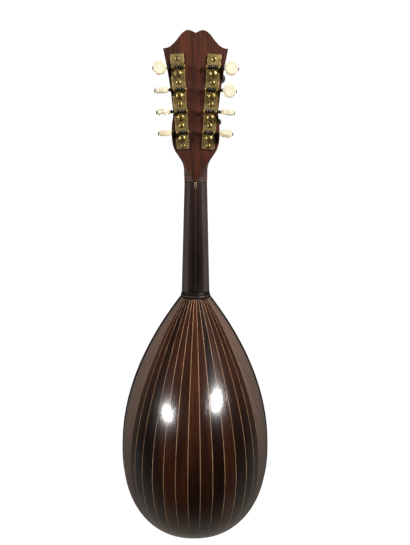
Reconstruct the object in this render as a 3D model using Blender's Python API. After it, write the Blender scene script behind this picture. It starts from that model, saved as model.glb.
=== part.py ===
"""Neapolitan (bowl-back) mandolin, built piece by piece as a luthier makes it.

The frame: the origin is on the centreline at the nut, where a hanger holds the neck.
+Z runs up to the head, the strings and soundboard face +Y, and the bowl's back faces -Y.
All sizes are in metres. Pieces that touch on the real instrument keep GAP between them.
"""

import math

import bmesh
import bpy
from mathutils import Matrix, Vector

GAP = 0.0003

# Scale, neck and fretboard
SCALE_LENGTH = 0.335
JOINT_FRET = 10
FRET_COUNT = 17
NECK_HALF_AT_NUT = 0.0148
NECK_HALF_AT_JOINT = 0.0185
NECK_BACK_AT_NUT = -0.0160
NECK_GROWTH = 0.0025
HEEL_START = 0.112
HEEL_RISE = 0.0106
HEEL_POWER = 2.4
NECK_ROUNDNESS = 2.2
FRETBOARD_THICK = 0.0034
FRET_HIGH = 0.0009
FRET_WIDE = 0.0010
BAND_LENGTH = 0.0070
BAND_THICK = 0.0018

# Soundboard and rim
BOARD_THICK = 0.0026
BINDING_OVERHANG = 0.0020
BINDING_INSET = 0.0010
CANT = math.radians(6.5)
BEND_BEHIND_BRIDGE = 0.007
SOUND_HOLE = (0.0310, 0.0215)
SOUND_HOLE_Z = -0.2430
ROSETTE_WIDE = 0.0070
INLAY_DEEP = 0.0012

# Bowl. Each curve climbs from the joint to its peak and closes on the tail.
BODY_LENGTH = 0.3113
RIM_CURVE = {
    "start": 0.0181,
    "peak": 0.0960,
    "reach": 0.2010,
    "lead": 0.0768,
    "settle": 0.0719,
    "slope": math.radians(37.7),
    "power": 2.35,
    "root": 2.31,
}
DEPTH_CURVE = {
    "start": 0.0292,
    "peak": 0.1250,
    "reach": 0.1556,
    "lead": 0.0833,
    "settle": 0.0608,
    "slope": math.radians(34.5),
    "power": 1.94,
    "root": 1.90,
}
SIDE_POWER = 1.63
BACK_POWER = 2.21
BOWL_THICK = 0.0028
TAIL_OPENING = 0.0030
SEAM_TURNS = [math.radians(a) for a in (38.7, 46.0, 54.4, 63.6, 71.9, 79.8, 87.0)]

# Head, tilted back from the nut
HEAD_TILT = math.radians(16.0)
HEAD_THICK = 0.0150
VENEER_THICK = 0.0012
NUT_LONG = 0.0050
NUT_TOP = 0.0076

# Machine plates: four gear posts on each, the lines of posts closing towards the nut
PLATE_AT = (0.0182, 0.0874)
PLATE_LEAN = math.radians(3.5)
PLATE_HALF_WIDE = 0.00775
PLATE_SPAN = (-0.0482, 0.0566)
PLATE_THICK = 0.0012
GEAR_PITCH = 0.02372
TEETH = 14
GEAR_RADIUS = 0.0051
GEAR_HALF_THICK = 0.0013
GEAR_HEIGHT = 0.0046
WORM_RADIUS = 0.0020
WORM_AMPLITUDE = 0.00055
WORM_FACETS = 6
WORM_TURNS = (-14 / 6, 10 / 6)
SHAFT_RADIUS = 0.00125
POST_RADIUS = 0.0027
POST_RISE = 0.0100
HOLE_RADIUS = 0.0033
EAR_AT = (-0.0071, 0.0049)
BUTTON_AT = 0.0204
BUTTON_RADIUS = 0.0073
BUTTON_THICK = 0.0056
BUTTON_TURNS = {
    "left": (0, 90, 80, 92),
    "right": (0, 4, 86, 108),
}

# Strings and bridge
COURSE_AT_NUT = (0.0106, 0.0035)
COURSE_AT_BRIDGE = (0.0183, 0.0061)
PAIR_AT_NUT = 0.00095
PAIR_AT_BRIDGE = 0.0013
STRING_RADII = (0.00045, 0.00035, 0.00028, 0.00025)
ACTION_RISE = 0.0023
TAIL_SPACING = 0.0038

# Derived places
JOINT_Z = -SCALE_LENGTH * (1 - 2 ** (-JOINT_FRET / 12))
BRIDGE_Z = -SCALE_LENGTH
BEND_S = JOINT_Z - BRIDGE_Z + BEND_BEHIND_BRIDGE
NECK_TOP = BOARD_THICK
FRETBOARD_BOTTOM = NECK_TOP + GAP
FRETBOARD_TOP = FRETBOARD_BOTTOM + FRETBOARD_THICK
STRING_AT_NUT = NUT_TOP + GAP + STRING_RADII[0]
STRING_AT_BRIDGE = STRING_AT_NUT + ACTION_RISE
WORM_PITCH = 2 * math.pi * GEAR_RADIUS / TEETH
WORM_OFFSET = GEAR_RADIUS + WORM_RADIUS
GEAR_Z = [GEAR_PITCH * (1.5 - k) for k in range(4)]
RIM_TURNS = [SEAM_TURNS[0] * f for f in (0.0, 0.16, 0.4, 0.7)]
COLUMNS = RIM_TURNS + SEAM_TURNS
COLUMNS += [math.pi - turn for turn in reversed(COLUMNS)]


def clear_scene():
    """Empty the scene, so that the script gives the same model in any file."""
    for obj in list(bpy.data.objects):
        bpy.data.objects.remove(obj, do_unlink=True)


def new_collection(name):
    """Make a collection in the scene."""
    collection = bpy.data.collections.new(name)
    bpy.context.scene.collection.children.link(collection)
    return collection


clear_scene()
PARTS = new_collection("neapolitan_mandolin")
CUTTERS = new_collection("cutters")


def material(name, colour, roughness, metallic=0.0):
    """A Principled material with the piece's colour."""
    made = bpy.data.materials.new(name)
    made.use_nodes = True
    shader = made.node_tree.nodes["Principled BSDF"]
    shader.inputs["Base Color"].default_value = (*colour, 1.0)
    shader.inputs["Roughness"].default_value = roughness
    shader.inputs["Metallic"].default_value = metallic
    made.diffuse_color = (*colour, 1.0)
    return made


def place(name, mesh, finish, parent=None, location=(0, 0, 0), turn=(0, 0, 0)):
    """Put a mesh into the model as a named piece with its own material."""
    obj = bpy.data.objects.new(name, mesh)
    PARTS.objects.link(obj)
    if not mesh.materials:
        mesh.materials.append(material(name, *finish))
    obj.parent = parent
    obj.location = location
    obj.rotation_euler = turn
    mesh.shade_smooth()
    mesh.set_sharp_from_angle(angle=math.radians(32))
    return obj


def empty(name, parent=None, location=(0, 0, 0), turn=(0, 0, 0)):
    """An axis or frame that pieces are parented to."""
    obj = bpy.data.objects.new(name, None)
    PARTS.objects.link(obj)
    obj.parent = parent
    obj.location = location
    obj.rotation_euler = turn
    obj.empty_display_size = 0.01
    return obj


def finished(bm, name):
    """Turn the faces outwards and make the mesh."""
    bmesh.ops.recalc_face_normals(bm, faces=bm.faces)
    mesh = bpy.data.meshes.new(name)
    bm.to_mesh(mesh)
    bm.free()
    return mesh


def baked(obj):
    """The mesh that an object's modifiers give; the object itself is removed."""
    bpy.context.view_layer.update()
    graph = bpy.context.evaluated_depsgraph_get()
    mesh = bpy.data.meshes.new_from_object(obj.evaluated_get(graph))
    name = obj.name
    bpy.data.objects.remove(obj, do_unlink=True)
    mesh.name = name
    return mesh


def cutter(name, mesh, parent=None, location=(0, 0, 0), turn=(0, 0, 0)):
    """A helper solid for a Boolean, left out of the model."""
    obj = bpy.data.objects.new(name, mesh)
    CUTTERS.objects.link(obj)
    obj.parent = parent
    obj.location = location
    obj.rotation_euler = turn
    obj.hide_render = True
    obj.display_type = "WIRE"
    return obj


def boolean(obj, tool, operation="DIFFERENCE"):
    """Cut, join or intersect a piece with a helper solid."""
    modifier = obj.modifiers.new(tool.name, "BOOLEAN")
    modifier.operation = operation
    modifier.solver = "EXACT"
    modifier.object = tool
    return modifier


def joined(name, meshes):
    """One closed mesh from overlapping closed meshes."""
    base = cutter(name, meshes[0])
    tools = [cutter(f"{name}_{i}", mesh) for i, mesh in enumerate(meshes[1:])]
    for tool in tools:
        boolean(base, tool, "UNION")
    mesh = baked(base)
    for tool in tools:
        bpy.data.objects.remove(tool, do_unlink=True)
    return mesh


def box_mesh(name, low, high, bevel=0.0):
    """A box between two corners, with its edges rounded if bevel is given."""
    bm = bmesh.new()
    size = Vector(high) - Vector(low)
    middle = (Vector(high) + Vector(low)) / 2
    bmesh.ops.create_cube(bm, size=1.0, matrix=Matrix.Translation(middle) @ Matrix.Diagonal((*size, 1)))
    if bevel:
        bmesh.ops.bevel(bm, geom=bm.edges[:], offset=bevel, segments=1, affect="EDGES")
    return finished(bm, name)


def rod_mesh(name, radius, low, high, axis, centre=(0, 0), sides=12, end_radius=None):
    """A cylinder or cone from low to high along a local axis, centred on the other two."""
    bm = bmesh.new()
    bmesh.ops.create_cone(
        bm,
        cap_ends=True,
        segments=sides,
        radius1=radius,
        radius2=radius if end_radius is None else end_radius,
        depth=high - low,
    )
    turn, spot = {
        "X": (Matrix.Rotation(math.pi / 2, 4, "Y"), ((low + high) / 2, *centre)),
        "Y": (Matrix.Rotation(-math.pi / 2, 4, "X"), (centre[0], (low + high) / 2, centre[1])),
        "Z": (Matrix.Identity(4), (*centre, (low + high) / 2)),
    }[axis]
    bmesh.ops.transform(bm, matrix=Matrix.Translation(spot) @ turn, verts=bm.verts)
    return finished(bm, name)


def loft(name, rings, twisted=False):
    """A closed solid through rings of equally many points, capped at both ends.

    A twisted one gets triangles whose diagonals follow the twist.
    """
    bm = bmesh.new()
    rows = [[bm.verts.new(point) for point in ring] for ring in rings]
    count = len(rows[0])
    for near, far in zip(rows, rows[1:]):
        for i in range(count):
            j = (i + 1) % count
            if twisted:
                bm.faces.new((near[i], near[j], far[j]))
                bm.faces.new((near[i], far[j], far[i]))
            else:
                bm.faces.new((near[i], near[j], far[j], far[i]))
    bm.faces.new(reversed(rows[0]))
    bm.faces.new(rows[-1])
    return finished(bm, name)


def shell(name, outer, inner):
    """A closed skin between two grids of points."""
    bm = bmesh.new()
    grids = [[[bm.verts.new(p) for p in row] for row in grid] for grid in (outer, inner)]
    rows, columns = len(outer), len(outer[0])
    for grid in grids:
        for i in range(rows - 1):
            for j in range(columns - 1):
                bm.faces.new((grid[i][j], grid[i][j + 1], grid[i + 1][j + 1], grid[i + 1][j]))
    out, ins = grids
    for i in range(rows - 1):
        for j in (0, columns - 1):
            bm.faces.new((out[i][j], out[i + 1][j], ins[i + 1][j], ins[i][j]))
    for j in range(columns - 1):
        for i in (0, rows - 1):
            bm.faces.new((out[i][j], out[i][j + 1], ins[i][j + 1], ins[i][j]))
    return finished(bm, name)


def turned(name, profile, sides, axis="Y"):
    """A turned shape: profile is (place along the axis, radius), from end to end."""
    rings = []
    for along, radius in profile:
        ring = []
        for i in range(sides):
            angle = 2 * math.pi * i / sides
            across = (radius * math.cos(angle), radius * math.sin(angle))
            ring.append((across[0], along, across[1]) if axis == "Y" else (along, *across))
        rings.append(ring)
    return loft(name, rings)


def plate_mesh(name, points, low, high, smooth=2):
    """A flat plate: an outline in local X and Z, filled and extruded from low to high in Y.

    A point is (x, z) on a smooth stretch or (x, z, "corner").
    """
    curve = bpy.data.curves.new(name, "CURVE")
    curve.dimensions = "2D"
    curve.fill_mode = "BOTH"
    curve.extrude = (high - low) / 2
    curve.resolution_u = smooth
    spline = curve.splines.new("BEZIER")
    spline.bezier_points.add(len(points) - 1)
    for knot, point in zip(spline.bezier_points, points):
        knot.co = (point[0], point[1], 0)
        kind = "VECTOR" if len(point) > 2 else "AUTO"
        knot.handle_left_type = kind
        knot.handle_right_type = kind
    spline.use_cyclic_u = True
    obj = bpy.data.objects.new(name, curve)
    CUTTERS.objects.link(obj)
    mesh = baked(obj)
    bpy.data.curves.remove(curve)
    bm = bmesh.new()
    bm.from_mesh(mesh)
    bpy.data.meshes.remove(mesh)
    bmesh.ops.remove_doubles(bm, verts=bm.verts, dist=0.00001)
    bmesh.ops.rotate(bm, matrix=Matrix.Rotation(math.pi / 2, 3, "X"), verts=bm.verts)
    bmesh.ops.translate(bm, vec=(0, (low + high) / 2, 0), verts=bm.verts)
    return finished(bm, name)


def mirrored_outline(half):
    """A closed outline from its right half, given from top to bottom."""
    left = [(-p[0], *p[1:]) for p in reversed(half) if p[0] > 0]
    return list(half) + left


def corners(points):
    """Mark every point of an outline as a corner."""
    return [(x, z, "corner") for x, z in points]


def oval(radii, centre_z, sides=28):
    """An ellipse as corner points."""
    spots = [2 * math.pi * i / sides for i in range(sides)]
    return corners([(radii[0] * math.cos(a), centre_z + radii[1] * math.sin(a)) for a in spots])


# The bowl's surface


def bezier(knots, t):
    """Cubic Bezier value at t."""
    a, b, c, d = knots
    u = 1 - t
    return a * u**3 + 3 * b * u * u * t + 3 * c * u * t * t + d * t**3


def growth(s, start, peak, reach, lead, settle, slope, power, root):
    """Half width or depth of the bowl, s below the joint: a Bezier curve, then a superellipse."""
    if s >= reach:
        u = min(1.0, (s - reach) / (BODY_LENGTH - reach))
        return peak * (1 - u**power) ** (1 / root)
    places = (0, lead * math.cos(slope), reach - settle, reach)
    values = (start, start + lead * math.sin(slope), peak, peak)
    low, high = 0.0, 1.0
    for _ in range(40):
        middle = (low + high) / 2
        if bezier(places, middle) < s:
            low = middle
        else:
            high = middle
    return bezier(values, low)


def half_width(s):
    return growth(s, **RIM_CURVE)


def depth(s):
    return growth(s, **DEPTH_CURVE)


def rim_drop(s):
    """How far the soundboard's plane has bent down at s."""
    return max(0.0, s - BEND_S) * math.tan(CANT)


def rim_cut(s):
    """The section angle at which the rim plane cuts the bowl."""
    return math.asin(min(1.0, rim_drop(s) / depth(s)) ** (SIDE_POWER / 2))


def bowl_point(s, turn):
    """A point of the bowl's outside. turn runs from 0 at the +X rim to pi at the -X rim."""
    cut = rim_cut(s)
    angle = cut + (1 - 2 * cut / math.pi) * min(turn, math.pi - turn)
    x = half_width(s) * max(0.0, math.cos(angle)) ** (2 / BACK_POWER)
    y = -depth(s) * math.sin(angle) ** (2 / SIDE_POWER)
    return Vector((x if turn < math.pi / 2 else -x, y - GAP, JOINT_Z - s))


def bowl_normal(s, turn):
    """The outward direction of the bowl's surface."""
    near, far = max(0.0, turn - 0.02), min(math.pi, turn + 0.02)
    across = bowl_point(s, far) - bowl_point(s, near)
    along = bowl_point(min(BODY_END, s + 0.0005), turn) - bowl_point(max(0.0, s - 0.0005), turn)
    return across.cross(along).normalized()


def skin_point(s, turn, offset):
    """A point at a distance outside (+) or inside (-) the bowl; the rim's stays in the rim plane."""
    point = bowl_point(s, turn) + bowl_normal(s, turn) * offset
    if turn in (0.0, math.pi):
        point.y = -GAP - rim_drop(JOINT_Z - point.z)
    return point


def body_end():
    """The s at which the staves stop, just short of the tail."""
    low, high = RIM_CURVE["reach"], BODY_LENGTH
    for _ in range(40):
        middle = (low + high) / 2
        if depth(middle) - rim_drop(middle) > TAIL_OPENING:
            low = middle
        else:
            high = middle
    return low


def stations(start, rows=9, tail_rows=12):
    """Places along the body, closer together where the tail turns."""
    reach = RIM_CURVE["reach"]
    front = [start + (reach - start) * (i / rows) ** 0.9 for i in range(rows)]
    last = math.asin((BODY_END - reach) / (BODY_LENGTH - reach))
    turns = [last * i / tail_rows for i in range(tail_rows + 1)]
    return front + [reach + (BODY_LENGTH - reach) * math.sin(t) for t in turns]


def rim_point(s, side, offset, height=0.0):
    """A point on the rim's outline, moved outwards in the rim plane by offset."""
    here, there = bowl_point(s, 0.0), bowl_point(min(s + 0.0005, BODY_END), 0.0)
    back = bowl_point(max(0.0, s - 0.0005), 0.0)
    along = there - back
    out = Vector((-along.z, 0, along.x)).normalized()
    point = here + out * offset
    point.y = height - rim_drop(JOINT_Z - point.z)
    point.x *= side
    return point


BODY_END = body_end()


# Body


def build_bowl():
    """The staves in the middle of the bowl and the two wide side ribs."""
    rows = stations(0.0)
    seams = SEAM_TURNS + [math.pi - t for t in reversed(SEAM_TURNS)]
    outer = [[skin_point(s, t, 0.0) for t in seams] for s in rows]
    inner = [[skin_point(s, t, -BOWL_THICK) for t in seams] for s in rows]
    place("bowl_staves", shell("bowl_staves", outer, inner), ((0.10, 0.045, 0.03), 0.2))
    for name, side in (("side_rib_right", 1), ("side_rib_left", -1)):
        outer, inner = [], []
        for s in rows:
            pace = (bowl_point(s, SEAM_TURNS[0]) - bowl_point(s, SEAM_TURNS[0] - 0.01)).length / 0.01
            edge = SEAM_TURNS[0] - 1.1 * GAP / pace
            turns = RIM_TURNS + [edge]
            outer.append([skin_point(s, t, 0.0) for t in turns])
            inner.append([skin_point(s, t, -BOWL_THICK) for t in turns])
        for row in outer + inner:
            for point in row:
                point.x *= side
        place(name, shell(name, outer, inner), ((0.09, 0.04, 0.028), 0.2))


def interior(name, rows):
    """The space inside the bowl between two places, as a solid up to the rim plane."""
    offset = -BOWL_THICK - 1.2 * GAP
    return loft(name, [[skin_point(s, t, offset) for t in COLUMNS] for s in rows])


def build_blocks():
    """Neck block and tail block, glued inside the bowl's ends."""
    wood = ((0.55, 0.38, 0.22), 0.6)
    rows = stations(0.0)
    place("neck_block", interior("neck_block", (0.0004, rows[1])), wood)
    tail = place("tail_block", interior("tail_block", rows[-4:]), wood)
    limits = box_mesh("tail_block_limits", (-0.024, -0.060, JOINT_Z - 0.320), (0.024, 0.010, JOINT_Z - 0.294))
    boolean(tail, cutter("tail_block_limits", limits), "INTERSECT")


def turn_at(s, below):
    """The turn at which the bowl's surface is a given depth below the rim."""
    cut = rim_cut(s)
    angle = math.asin(min(1.0, (rim_drop(s) + below) / depth(s)) ** (SIDE_POWER / 2))
    return (angle - cut) / (1 - 2 * cut / math.pi)


def build_linings():
    """Triangular strips glued inside the rim, which the soundboard is glued to."""
    for name, side in (("lining_right", 1), ("lining_left", -1)):
        rings = []
        offset = -BOWL_THICK - 2 * GAP
        for s in [0.0310] + stations(0.0)[2:-2]:
            top = skin_point(s, 0.0, offset)
            low = skin_point(s, turn_at(s, 0.008), offset)
            inside = rim_point(s, 1, offset - 0.0050, -GAP)
            rings.append([(p.x * side, p.y, p.z) for p in (top, low, inside)])
        place(name, loft(name, rings), ((0.60, 0.42, 0.25), 0.6))


def board_outline(offset):
    """The rim's outline from the neck round the tail and back, as (x, z) corners."""
    half = [rim_point(s, 1, offset) for s in stations(GAP)]
    half[0].z = JOINT_Z - GAP
    right = [(p.x, p.z) for p in half]
    return corners(right + [(-x, z) for x, z in reversed(right)])


def bend_behind_bridge(mesh):
    """Bend a flat plate along the line behind the bridge."""
    bend_z = JOINT_Z - BEND_S
    bm = bmesh.new()
    bm.from_mesh(mesh)
    geometry = bm.verts[:] + bm.edges[:] + bm.faces[:]
    bmesh.ops.bisect_plane(bm, geom=geometry, dist=0.00001, plane_co=(0, 0, bend_z), plane_no=(0, 0, 1))
    for vert in bm.verts:
        vert.co.y -= max(0.0, bend_z - vert.co.z) * math.tan(CANT)
    bm.to_mesh(mesh)
    bm.free()
    return mesh


def build_soundboard():
    """The spruce top with its sound hole and the shallow beds of the inlays."""
    outline = board_outline(-BINDING_INSET - 1.2 * GAP)
    mesh = bend_behind_bridge(plate_mesh("soundboard", outline, 0.0, BOARD_THICK, smooth=1))
    board = place("soundboard", mesh, ((0.78, 0.55, 0.28), 0.35))
    hole = plate_mesh("sound_hole", oval(SOUND_HOLE, SOUND_HOLE_Z), -0.01, 0.02, smooth=1)
    bed = BOARD_THICK - INLAY_DEEP - GAP
    wide = [r + ROSETTE_WIDE + GAP for r in SOUND_HOLE]
    ring = plate_mesh("rosette_bed", oval(wide, SOUND_HOLE_Z), bed, 0.02, smooth=1)
    pocket = plate_mesh("pickguard_bed", pickguard_outline(1.7 * GAP), bed, 0.02)
    for name, tool in (("rosette_bed", ring), ("pickguard_bed", pocket), ("sound_hole", hole)):
        boolean(board, cutter(name, tool))

    outer = [r + ROSETTE_WIDE for r in SOUND_HOLE]
    low = BOARD_THICK - INLAY_DEEP
    rosette = plate_mesh("rosette", oval(outer, SOUND_HOLE_Z), low, BOARD_THICK, smooth=1)
    inlay = place("rosette", rosette, ((0.09, 0.05, 0.035), 0.3))
    boolean(inlay, cutter("rosette_opening", hole.copy()))
    guard = plate_mesh("pickguard", pickguard_outline(0.0), low, BOARD_THICK)
    place("pickguard", guard, ((0.12, 0.03, 0.015), 0.15))


def pickguard_outline(grow):
    """The scratch plate below the sound hole, shaped like a shield."""
    top = SOUND_HOLE_Z - SOUND_HOLE[1] - ROSETTE_WIDE - 0.0012 + grow
    half = [
        (0.0180 + grow, top, "corner"),
        (0.0325 + grow, top + 0.0120 + grow, "corner"),
        (0.0330 + grow, -0.2800, "corner"),
        (0.0300 + grow, -0.2920),
        (0.0230 + grow, -0.3015 - grow),
        (0.0090 + grow, -0.3080 - grow),
        (0.0, -0.3170 - grow),
    ]
    return mirrored_outline(half)


def build_binding():
    """The black edging round the soundboard, which stands a little past the bowl."""
    low, high = 0.0, BOARD_THICK
    path = [(s, 1) for s in stations(GAP)]
    path += [(s, -1) for s, _ in reversed(path)]
    rings = []
    for s, side in path:
        ins = (-BINDING_INSET, BINDING_OVERHANG)
        corners_here = [(ins[0], low), (ins[1], low), (ins[1], high), (ins[0], high)]
        rings.append([rim_point(s, side, off, y) for off, y in corners_here])
    for ring in (rings[0], rings[-1]):
        for point in ring:
            point.z = JOINT_Z - GAP
    place("rim_binding", loft("rim_binding", rings), ((0.02, 0.018, 0.018), 0.25))


def build_braces():
    """Three bars across the inside of the soundboard."""
    for name, z, high in (
        ("brace_upper", -0.2120, 0.0075),
        ("brace_middle", -0.2740, 0.0085),
        ("brace_lower", -0.3300, 0.0080),
    ):
        reach = half_width(JOINT_Z - z) - BOWL_THICK - 0.0100
        half = [
            (reach, 0.0, "corner"),
            (reach, -0.0025, "corner"),
            (reach - 0.018, -high, "corner"),
        ]
        mesh = plate_mesh(name, mirrored_outline(half), -0.0032, 0.0032, smooth=1)
        mesh.transform(Matrix.Rotation(-math.pi / 2, 4, "X"))
        place(name, mesh, ((0.72, 0.52, 0.30), 0.6), location=(0, -GAP, z))


def build_tail():
    """The clasp over the staves' ends and the metal tailpiece with its hooks."""
    rows = stations(0.0)[-3:]
    outer = [[skin_point(s, t, 0.0019) for t in COLUMNS[1:-1]] for s in rows]
    inner = [[skin_point(s, t, 1.7 * GAP) for t in COLUMNS[1:-1]] for s in rows]
    clasp = place("tail_clasp", shell("tail_clasp", outer, inner), ((0.05, 0.022, 0.016), 0.2))
    limits = box_mesh("tail_clasp_limits", (-0.030, -0.036, JOINT_Z - 0.330), (0.030, 0.010, JOINT_Z - 0.280))
    boolean(clasp, cutter("tail_clasp_limits", limits), "INTERSECT")

    edge = rim_point(BODY_END, 1, BINDING_OVERHANG + 2 * GAP)
    thick = 0.0010
    slope = math.tan(CANT)
    top = BOARD_THICK + 0.0002 - rim_drop(JOINT_Z - edge.z) + 2 * GAP
    run = 0.0200
    side_view = [
        (edge.z + run, top + run * slope),
        (edge.z, top),
        (edge.z, -0.0180),
        (edge.z + 0.0016, -0.0265),
        (edge.z + 0.0016 - thick, -0.0269),
        (edge.z - thick, -0.0182),
        (edge.z - thick, top + thick),
        (edge.z + run, top + run * slope + thick),
    ]
    rings = [[(x, y, z) for z, y in side_view] for x in (-0.0180, 0.0180)]
    hooks = []
    for i in range(8):
        x = (i - 3.5) * TAIL_SPACING
        z = edge.z + 0.0150
        base = top + 0.0150 * slope
        hooks.append(rod_mesh("hook", 0.0009, base + thick / 2, base + 0.0045, "Y", (x, z), sides=6))
    mesh = joined("tailpiece", [loft("tailpiece", rings), *hooks])
    place("tailpiece", mesh, ((0.62, 0.60, 0.56), 0.3, 1.0))
    return Vector((0, base + 0.0030, z + 0.0009))


# Neck


def neck_half(z):
    return NECK_HALF_AT_NUT + (NECK_HALF_AT_JOINT - NECK_HALF_AT_NUT) * z / JOINT_Z


def neck_back(z):
    """The neck's deepest line: a slow taper, then the heel."""
    heel = max(0.0, (-z - HEEL_START) / (-JOINT_Z - HEEL_START))
    return NECK_BACK_AT_NUT - NECK_GROWTH * z / JOINT_Z - HEEL_RISE * heel**HEEL_POWER


def neck_ring(z, half, back, top=NECK_TOP, power=NECK_ROUNDNESS, count=14):
    """A D-shaped section: flat in front, rounded behind."""
    points = []
    for i in range(count + 1):
        angle = math.pi * i / count
        across = math.copysign(abs(math.cos(angle)) ** (2 / power), math.cos(angle))
        deep = math.sin(angle) ** (2 / power)
        points.append(Vector((half * across, top - (top - back) * deep, z)))
    return points


def build_neck():
    """Neck with a rebate at its end for the heel band, the band, nut and fretboard."""
    shoulder = JOINT_Z + GAP + BAND_LENGTH
    rows = [-GAP, -0.030, -0.065, -0.100, -0.115, -0.124, -0.132, shoulder + GAP]
    rings = [neck_ring(z, neck_half(z), neck_back(z)) for z in rows]
    rebate = BAND_THICK + 1.2 * GAP
    middle = JOINT_Z + GAP + BAND_LENGTH * 0.45
    for z in (shoulder + GAP, middle, JOINT_Z + GAP):
        rings.append(neck_ring(z, neck_half(z) - rebate, neck_back(z) + rebate))
    place("neck", loft("neck", rings), ((0.07, 0.035, 0.028), 0.25))

    outer, inner = [], []
    for z in (shoulder, middle, JOINT_Z + GAP):
        flare = 0.0003 + 0.0014 * ((shoulder - z) / BAND_LENGTH) ** 2
        outer.append(neck_ring(z, neck_half(z) + flare, neck_back(z) - 0.4 * flare))
        inner.append(neck_ring(z, neck_half(z) - BAND_THICK, neck_back(z) + BAND_THICK))
    place("heel_band", shell("heel_band", outer, inner), ((0.018, 0.015, 0.014), 0.3))

    nut = box_mesh(
        "nut",
        (-neck_half(0) + GAP, FRETBOARD_BOTTOM, GAP),
        (neck_half(0) - GAP, NUT_TOP, NUT_LONG),
        bevel=0.0005,
    )
    place("nut", nut, ((0.80, 0.75, 0.62), 0.4))


def fret_z(number):
    return -SCALE_LENGTH * (1 - 2 ** (-number / 12))


def build_fretboard():
    """The fretboard on the neck and soundboard, with its frets let in."""
    end = fret_z(FRET_COUNT) - 0.0040
    half = [
        (neck_half(0), 0.0, "corner"),
        (neck_half(end), end, "corner"),
        (neck_half(end) * 0.55, end - 0.0012),
        (0.0, end - 0.0030),
    ]
    board = plate_mesh("fretboard", mirrored_outline(half), FRETBOARD_BOTTOM, FRETBOARD_TOP)
    frets = []
    for number in range(1, FRET_COUNT + 1):
        z = fret_z(number)
        reach = neck_half(z) - 0.0004
        low = (-reach, FRETBOARD_TOP - 0.0008, z - FRET_WIDE / 2)
        high = (reach, FRETBOARD_TOP + FRET_HIGH, z + FRET_WIDE / 2)
        frets.append(box_mesh("fret", low, high))
    mesh = joined("fretboard", [board, *frets])
    place("fretboard", mesh, ((0.05, 0.028, 0.022), 0.35))


# Head


def head_outline(bottom):
    """The head's crested outline, in the head's own frame."""
    half = [
        (0.0, 0.1654, "corner"),
        (0.0081, 0.1681),
        (0.0132, 0.1665),
        (0.0237, 0.1560),
        (0.0304, 0.1509),
        (0.0371, 0.1494, "corner"),
        (0.0313, 0.1184),
        (0.0280, 0.0925),
        (0.0270, 0.0790),
        (0.0287, 0.0670),
        (0.0291, 0.0560),
        (0.0281, 0.0450),
        (0.0257, 0.0380),
        (0.0212, 0.0310),
        (0.0169, 0.0240),
        (0.0149, 0.0165),
        (0.0147, bottom, "corner"),
    ]
    return mirrored_outline(half)


def build_head():
    """The headstock, its face veneer and the frame that the machines stand in."""
    frame = empty("head_frame", location=(0, NECK_BACK_AT_NUT, 0), turn=(HEAD_TILT, 0, 0))
    plate = plate_mesh("headstock", head_outline(0.010), 0.0, HEAD_THICK)
    plate.transform(Matrix.Translation((0, NECK_BACK_AT_NUT, 0)) @ Matrix.Rotation(HEAD_TILT, 4, "X"))
    rings = []
    front_at_nut = NECK_BACK_AT_NUT + HEAD_THICK / math.cos(HEAD_TILT)
    shelf = NUT_LONG + 0.0012
    for z, power in (
        (GAP, NECK_ROUNDNESS),
        (0.003, 2.5),
        (shelf, 3.0),
        (shelf + 0.0001, 3.0),
        (0.010, 4.2),
        (0.014, 7.0),
        (0.018, 12.0),
    ):
        lean = z * math.tan(HEAD_TILT)
        top = NECK_TOP if z <= shelf else front_at_nut - lean
        rings.append(neck_ring(z, NECK_HALF_AT_NUT, NECK_BACK_AT_NUT - lean, top, power))
    mesh = joined("headstock", [plate, loft("head_root", rings)])
    head = place("headstock", mesh, ((0.20, 0.075, 0.045), 0.3))

    front = HEAD_THICK + GAP
    veneer = plate_mesh("head_veneer", head_outline(0.0036), front, front + VENEER_THICK)
    face = place("head_veneer", veneer, ((0.05, 0.022, 0.016), 0.2), parent=frame)

    for name, side in (("left", -1), ("right", 1)):
        stand = plate_frame(name, side, frame)
        for piece in (head, face):
            for k, z in enumerate(GEAR_Z):
                hole = rod_mesh("post_hole", HOLE_RADIUS, -0.01, 0.03, "Y", (0, z))
                boolean(piece, cutter(f"{piece.name}_hole_{name}_{k + 1}", hole, stand))
        build_machine(name, side, stand)


def plate_frame(name, side, frame):
    """The frame of one machine plate, leaning out towards the top."""
    location = (side * PLATE_AT[0], 0, PLATE_AT[1])
    return empty(f"plate_frame_{name}", frame, location, (0, side * PLATE_LEAN, 0))


# Machines


def worm_shaft_mesh(side):
    """Worm shaft along X: the thread is a wave round the shaft, with one start."""
    low, high = (turns * WORM_PITCH for turns in WORM_TURNS)
    steps = round((high - low) / WORM_PITCH * WORM_FACETS)
    worm = [low + (high - low) * i / steps for i in range(steps + 1)]
    rows = [(EAR_AT[0] - 0.0014, SHAFT_RADIUS, 0), (low - 0.0001, SHAFT_RADIUS, 0)]
    rows += [(along, WORM_RADIUS, 1) for along in worm]
    tip = BUTTON_AT + BUTTON_RADIUS + GAP
    rows += [
        (high + 0.0001, SHAFT_RADIUS, 0),
        (0.0098, SHAFT_RADIUS, 0),
        (0.0100, 0.0021, 0),
        (0.0114, 0.0021, 0),
        (0.0115, SHAFT_RADIUS, 0),
        (tip, SHAFT_RADIUS, 0),
        (tip + 0.0001, 0.0020, 0),
        (tip + 0.0008, 0.0016, 0),
    ]
    rings = []
    for along, radius, threaded in rows:
        ring = []
        for i in range(WORM_FACETS):
            turn = 2 * math.pi * i / WORM_FACETS
            wave = math.cos(2 * math.pi * along / WORM_PITCH - turn)
            r = radius - threaded * WORM_AMPLITUDE * wave
            ring.append((side * along, r * math.sin(turn), -r * math.cos(turn)))
        rings.append(ring)
    return loft("worm_shaft", rings, twisted=True)


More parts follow.
